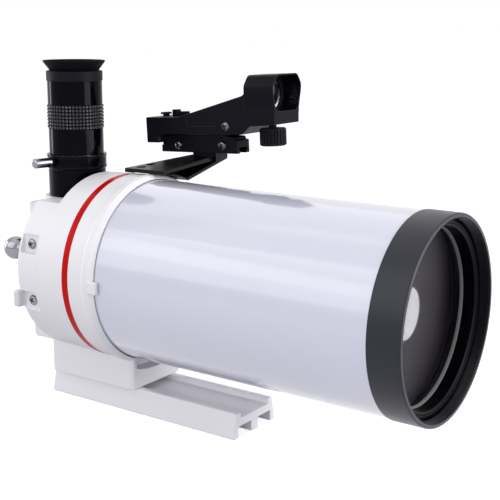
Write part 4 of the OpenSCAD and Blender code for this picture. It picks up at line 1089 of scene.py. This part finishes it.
class TelescopeInsides(TelescopeStep):
    """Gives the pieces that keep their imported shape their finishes"""
    bl_idname = "telescope.insides"
    bl_label = "Inside pieces"

    def make(self, sizes, colours):
        kept = {
            "silvered_mirror": ["secondary_spot", "primary_mirror", "flip_mirror"],
            "inside_matt_black": ["spot_shade", "baffle_plate", "baffle_tube", "mirror_retainer",
                                  "flip_frame"],
            "plain_aluminium": ["mirror_cell", "flip_link"],
            "polished_steel": ["focus_shaft", "eyepiece_barrel", "bar_screws", "tilt_pin"],
            "violet_coated_glass": ["eye_lens", "field_lens", "finder_glass"],
        }
        for surface, nodes in kept.items():
            for node in nodes:
                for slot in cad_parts[node].material_slots:
                    slot.material = bpy.data.materials[surface]


def seen_directly(tree):
    """1 for what the camera sees, also in a reflection or through glass, and 0 for other light."""
    path = add_node(tree, "ShaderNodeLightPath")
    seen = path.outputs["Is Camera Ray"]
    for ray in ("Is Glossy Ray", "Is Transmission Ray"):
        either = add_node(tree, "ShaderNodeMath", {0: seen, 1: path.outputs[ray]},
                          operation="MAXIMUM")
        seen = either.outputs["Value"]
    return seen


class TelescopeStage(bpy.types.Operator):
    """Sets the pale floor, the soft lights and the camera"""
    bl_idname = "telescope.stage"
    bl_label = "Studio"

    def execute(self, context):
        studio = context.scene.telescope_studio
        self.floor(studio)
        self.sky(context.scene, studio)
        self.lamp("key_light", (-0.1, -0.35, 0.95), (0.02, 0.0, 0.1), (1.0, 0.7), studio.key_power)
        self.lamp("front_light", (1.0, 0.25, 0.3), (-0.06, 0.0, 0.15), (0.75, 0.9),
                  studio.front_power)
        self.lamp("side_light", (-0.65, -0.95, 0.75), (0.05, 0.0, 0.09), (0.6, 0.3),
                  studio.side_power)
        self.lamp("fill_light", (0.1, -1.2, 0.34), (0.0, 0.0, 0.03), (1.6, 0.3),
                  studio.fill_power, shine=False)
        self.lamp("back_light", (-1.1, -0.2, 0.32), (-0.06, 0.0, 0.16), (0.24, 0.6),
                  studio.back_power)
        self.lamp("low_gloss", (-0.65, -1.121, 0.851), (-0.65, -0.05, 0.115), (2.2, 1.18),
                  studio.gloss_power, lights=False)
        self.lamp("high_gloss", (-0.65, 0.578, 1.294), (-0.65, -0.02, 0.14), (2.2, 1.56),
                  studio.gloss_power / 2, lights=False)
        self.camera(context.scene)
        context.scene.view_settings.view_transform = "Standard"
        return {"FINISHED"}

    def floor(self, studio):
        """A wide floor that stays white to the camera and keeps the shadow."""
        deselect()
        bpy.ops.mesh.primitive_plane_add(size=8, location=(0, 0, 0))
        floor = edit(named("studio_floor"), bpy.ops.mesh.subdivide, number_cuts=3)
        material = bpy.data.materials.new("studio_floor")
        material.use_nodes = True
        tree = material.node_tree
        shader = tree.nodes["Principled BSDF"]
        place = add_node(tree, "ShaderNodeTexCoord")
        noise = add_node(tree, "ShaderNodeTexNoise", {
            "Vector": place.outputs["Object"], "Scale": 3})
        pale = tuple(studio.floor_tone)
        darker = tuple(c * 0.98 for c in pale)
        feed(tree, shader.inputs["Base Color"], mixed(tree, noise.outputs["Fac"], pale, darker))
        feed(tree, shader.inputs["Roughness"], 0.9)
        feed(tree, shader.inputs["Specular IOR Level"], 0.0)
        level = add_node(tree, "ShaderNodeMath", {0: seen_directly(tree), 1: 0.8},
                         operation="MULTIPLY")
        glow = add_node(tree, "ShaderNodeEmission", {"Strength": level.outputs["Value"]})
        both = add_node(tree, "ShaderNodeAddShader", {
            0: shader.outputs["BSDF"], 1: glow.outputs["Emission"]})
        feed(tree, tree.nodes["Material Output"].inputs["Surface"], both.outputs["Shader"])
        floor.data.materials.append(material)

    def sky(self, scene, studio):
        """White to the camera, a little cooler low down and dimmer as light."""
        world = bpy.data.worlds.new("studio_sky")
        scene.world = world
        world.use_nodes = True
        tree = world.node_tree
        background = tree.nodes["Background"]
        place = add_node(tree, "ShaderNodeTexCoord")
        split = add_node(tree, "ShaderNodeSeparateXYZ", {"Vector": place.outputs["Generated"]})
        height = ranged(tree, split.outputs["Z"], -0.6, 0.9, "From")
        tone = mixed(tree, height, (0.9, 0.9, 1.0), (1.0, 1.0, 1.0))
        feed(tree, background.inputs["Color"], tone)
        feed(tree, background.inputs["Strength"], studio.sky_level)
        white = add_node(tree, "ShaderNodeBackground", {"Color": (1, 1, 1)})
        choice = add_node(tree, "ShaderNodeMixShader", {
            "Fac": seen_directly(tree), 1: background.outputs["Background"],
            2: white.outputs["Background"]})
        feed(tree, tree.nodes["World Output"].inputs["Surface"], choice.outputs["Shader"])

    def lamp(self, name, spot, target, size, power, shine=True, lights=True):
        """A soft rectangular light on a target; it may miss the gloss or be only there."""
        data = bpy.data.lights.new(name, "AREA")
        data.shape = "RECTANGLE"
        data.size, data.size_y = size
        data.energy = power
        lamp = bpy.data.objects.new(name, data)
        bpy.context.scene.collection.objects.link(lamp)
        lamp.location = spot
        lamp.visible_glossy = shine
        lamp.visible_diffuse = lights
        lamp.rotation_euler = (Vector(target) - Vector(spot)).to_track_quat("-Z", "Y").to_euler()

    def camera(self, scene):
        """The camera at the viewing angle of the picture."""
        data = bpy.data.cameras.new("studio_camera")
        data.sensor_width = 36
        data.lens = 74.049
        data.clip_start = 0.01
        camera = bpy.data.objects.new("studio_camera", data)
        scene.collection.objects.link(camera)
        right = Vector((0.821120, 0.570745, 0.003425))
        up = Vector((-0.125997, 0.175410, 0.976399))
        camera.matrix_world = columns((409.041, -487.103, 242.970), right, up, right.cross(up))
        scene.camera = camera


STEPS = (TelescopeFinishes, TelescopeTube, TelescopeCorrector, TelescopeCell, TelescopeRear,
         TelescopeBar, TelescopeEyepiece, TelescopeControls, TelescopeBracket, TelescopeFinder,
         TelescopeScrews, TelescopeInsides, TelescopeStage)
GROUPS = {"telescope_sizes": TelescopeSizes, "telescope_colours": TelescopeColours,
          "telescope_studio": TelescopeStudio}


class VIEW3D_PT_telescope(bpy.types.Panel):
    """Lists the telescope's sizes, colours and steps"""
    bl_idname = "VIEW3D_PT_telescope"
    bl_label = "Telescope"
    bl_space_type = "VIEW_3D"
    bl_region_type = "UI"
    bl_category = "Telescope"

    def draw(self, context):
        for group in GROUPS:
            box = self.layout.box()
            for name in GROUPS[group].__annotations__:
                box.prop(getattr(context.scene, group), name)
        for step in STEPS:
            self.layout.operator(step.bl_idname)


CLASSES = (*GROUPS.values(), *STEPS, VIEW3D_PT_telescope)


def register():
    for cls in CLASSES:
        bpy.utils.register_class(cls)
    for name, cls in GROUPS.items():
        setattr(bpy.types.Scene, name, PointerProperty(type=cls))


def unregister():
    for name in GROUPS:
        delattr(bpy.types.Scene, name)
    for cls in reversed(CLASSES):
        bpy.utils.unregister_class(cls)


def main():
    register()
    for step in STEPS:
        module, name = step.bl_idname.split(".")
        getattr(getattr(bpy.ops, module), name)()
    deselect()


if __name__ == "__main__":
    main()
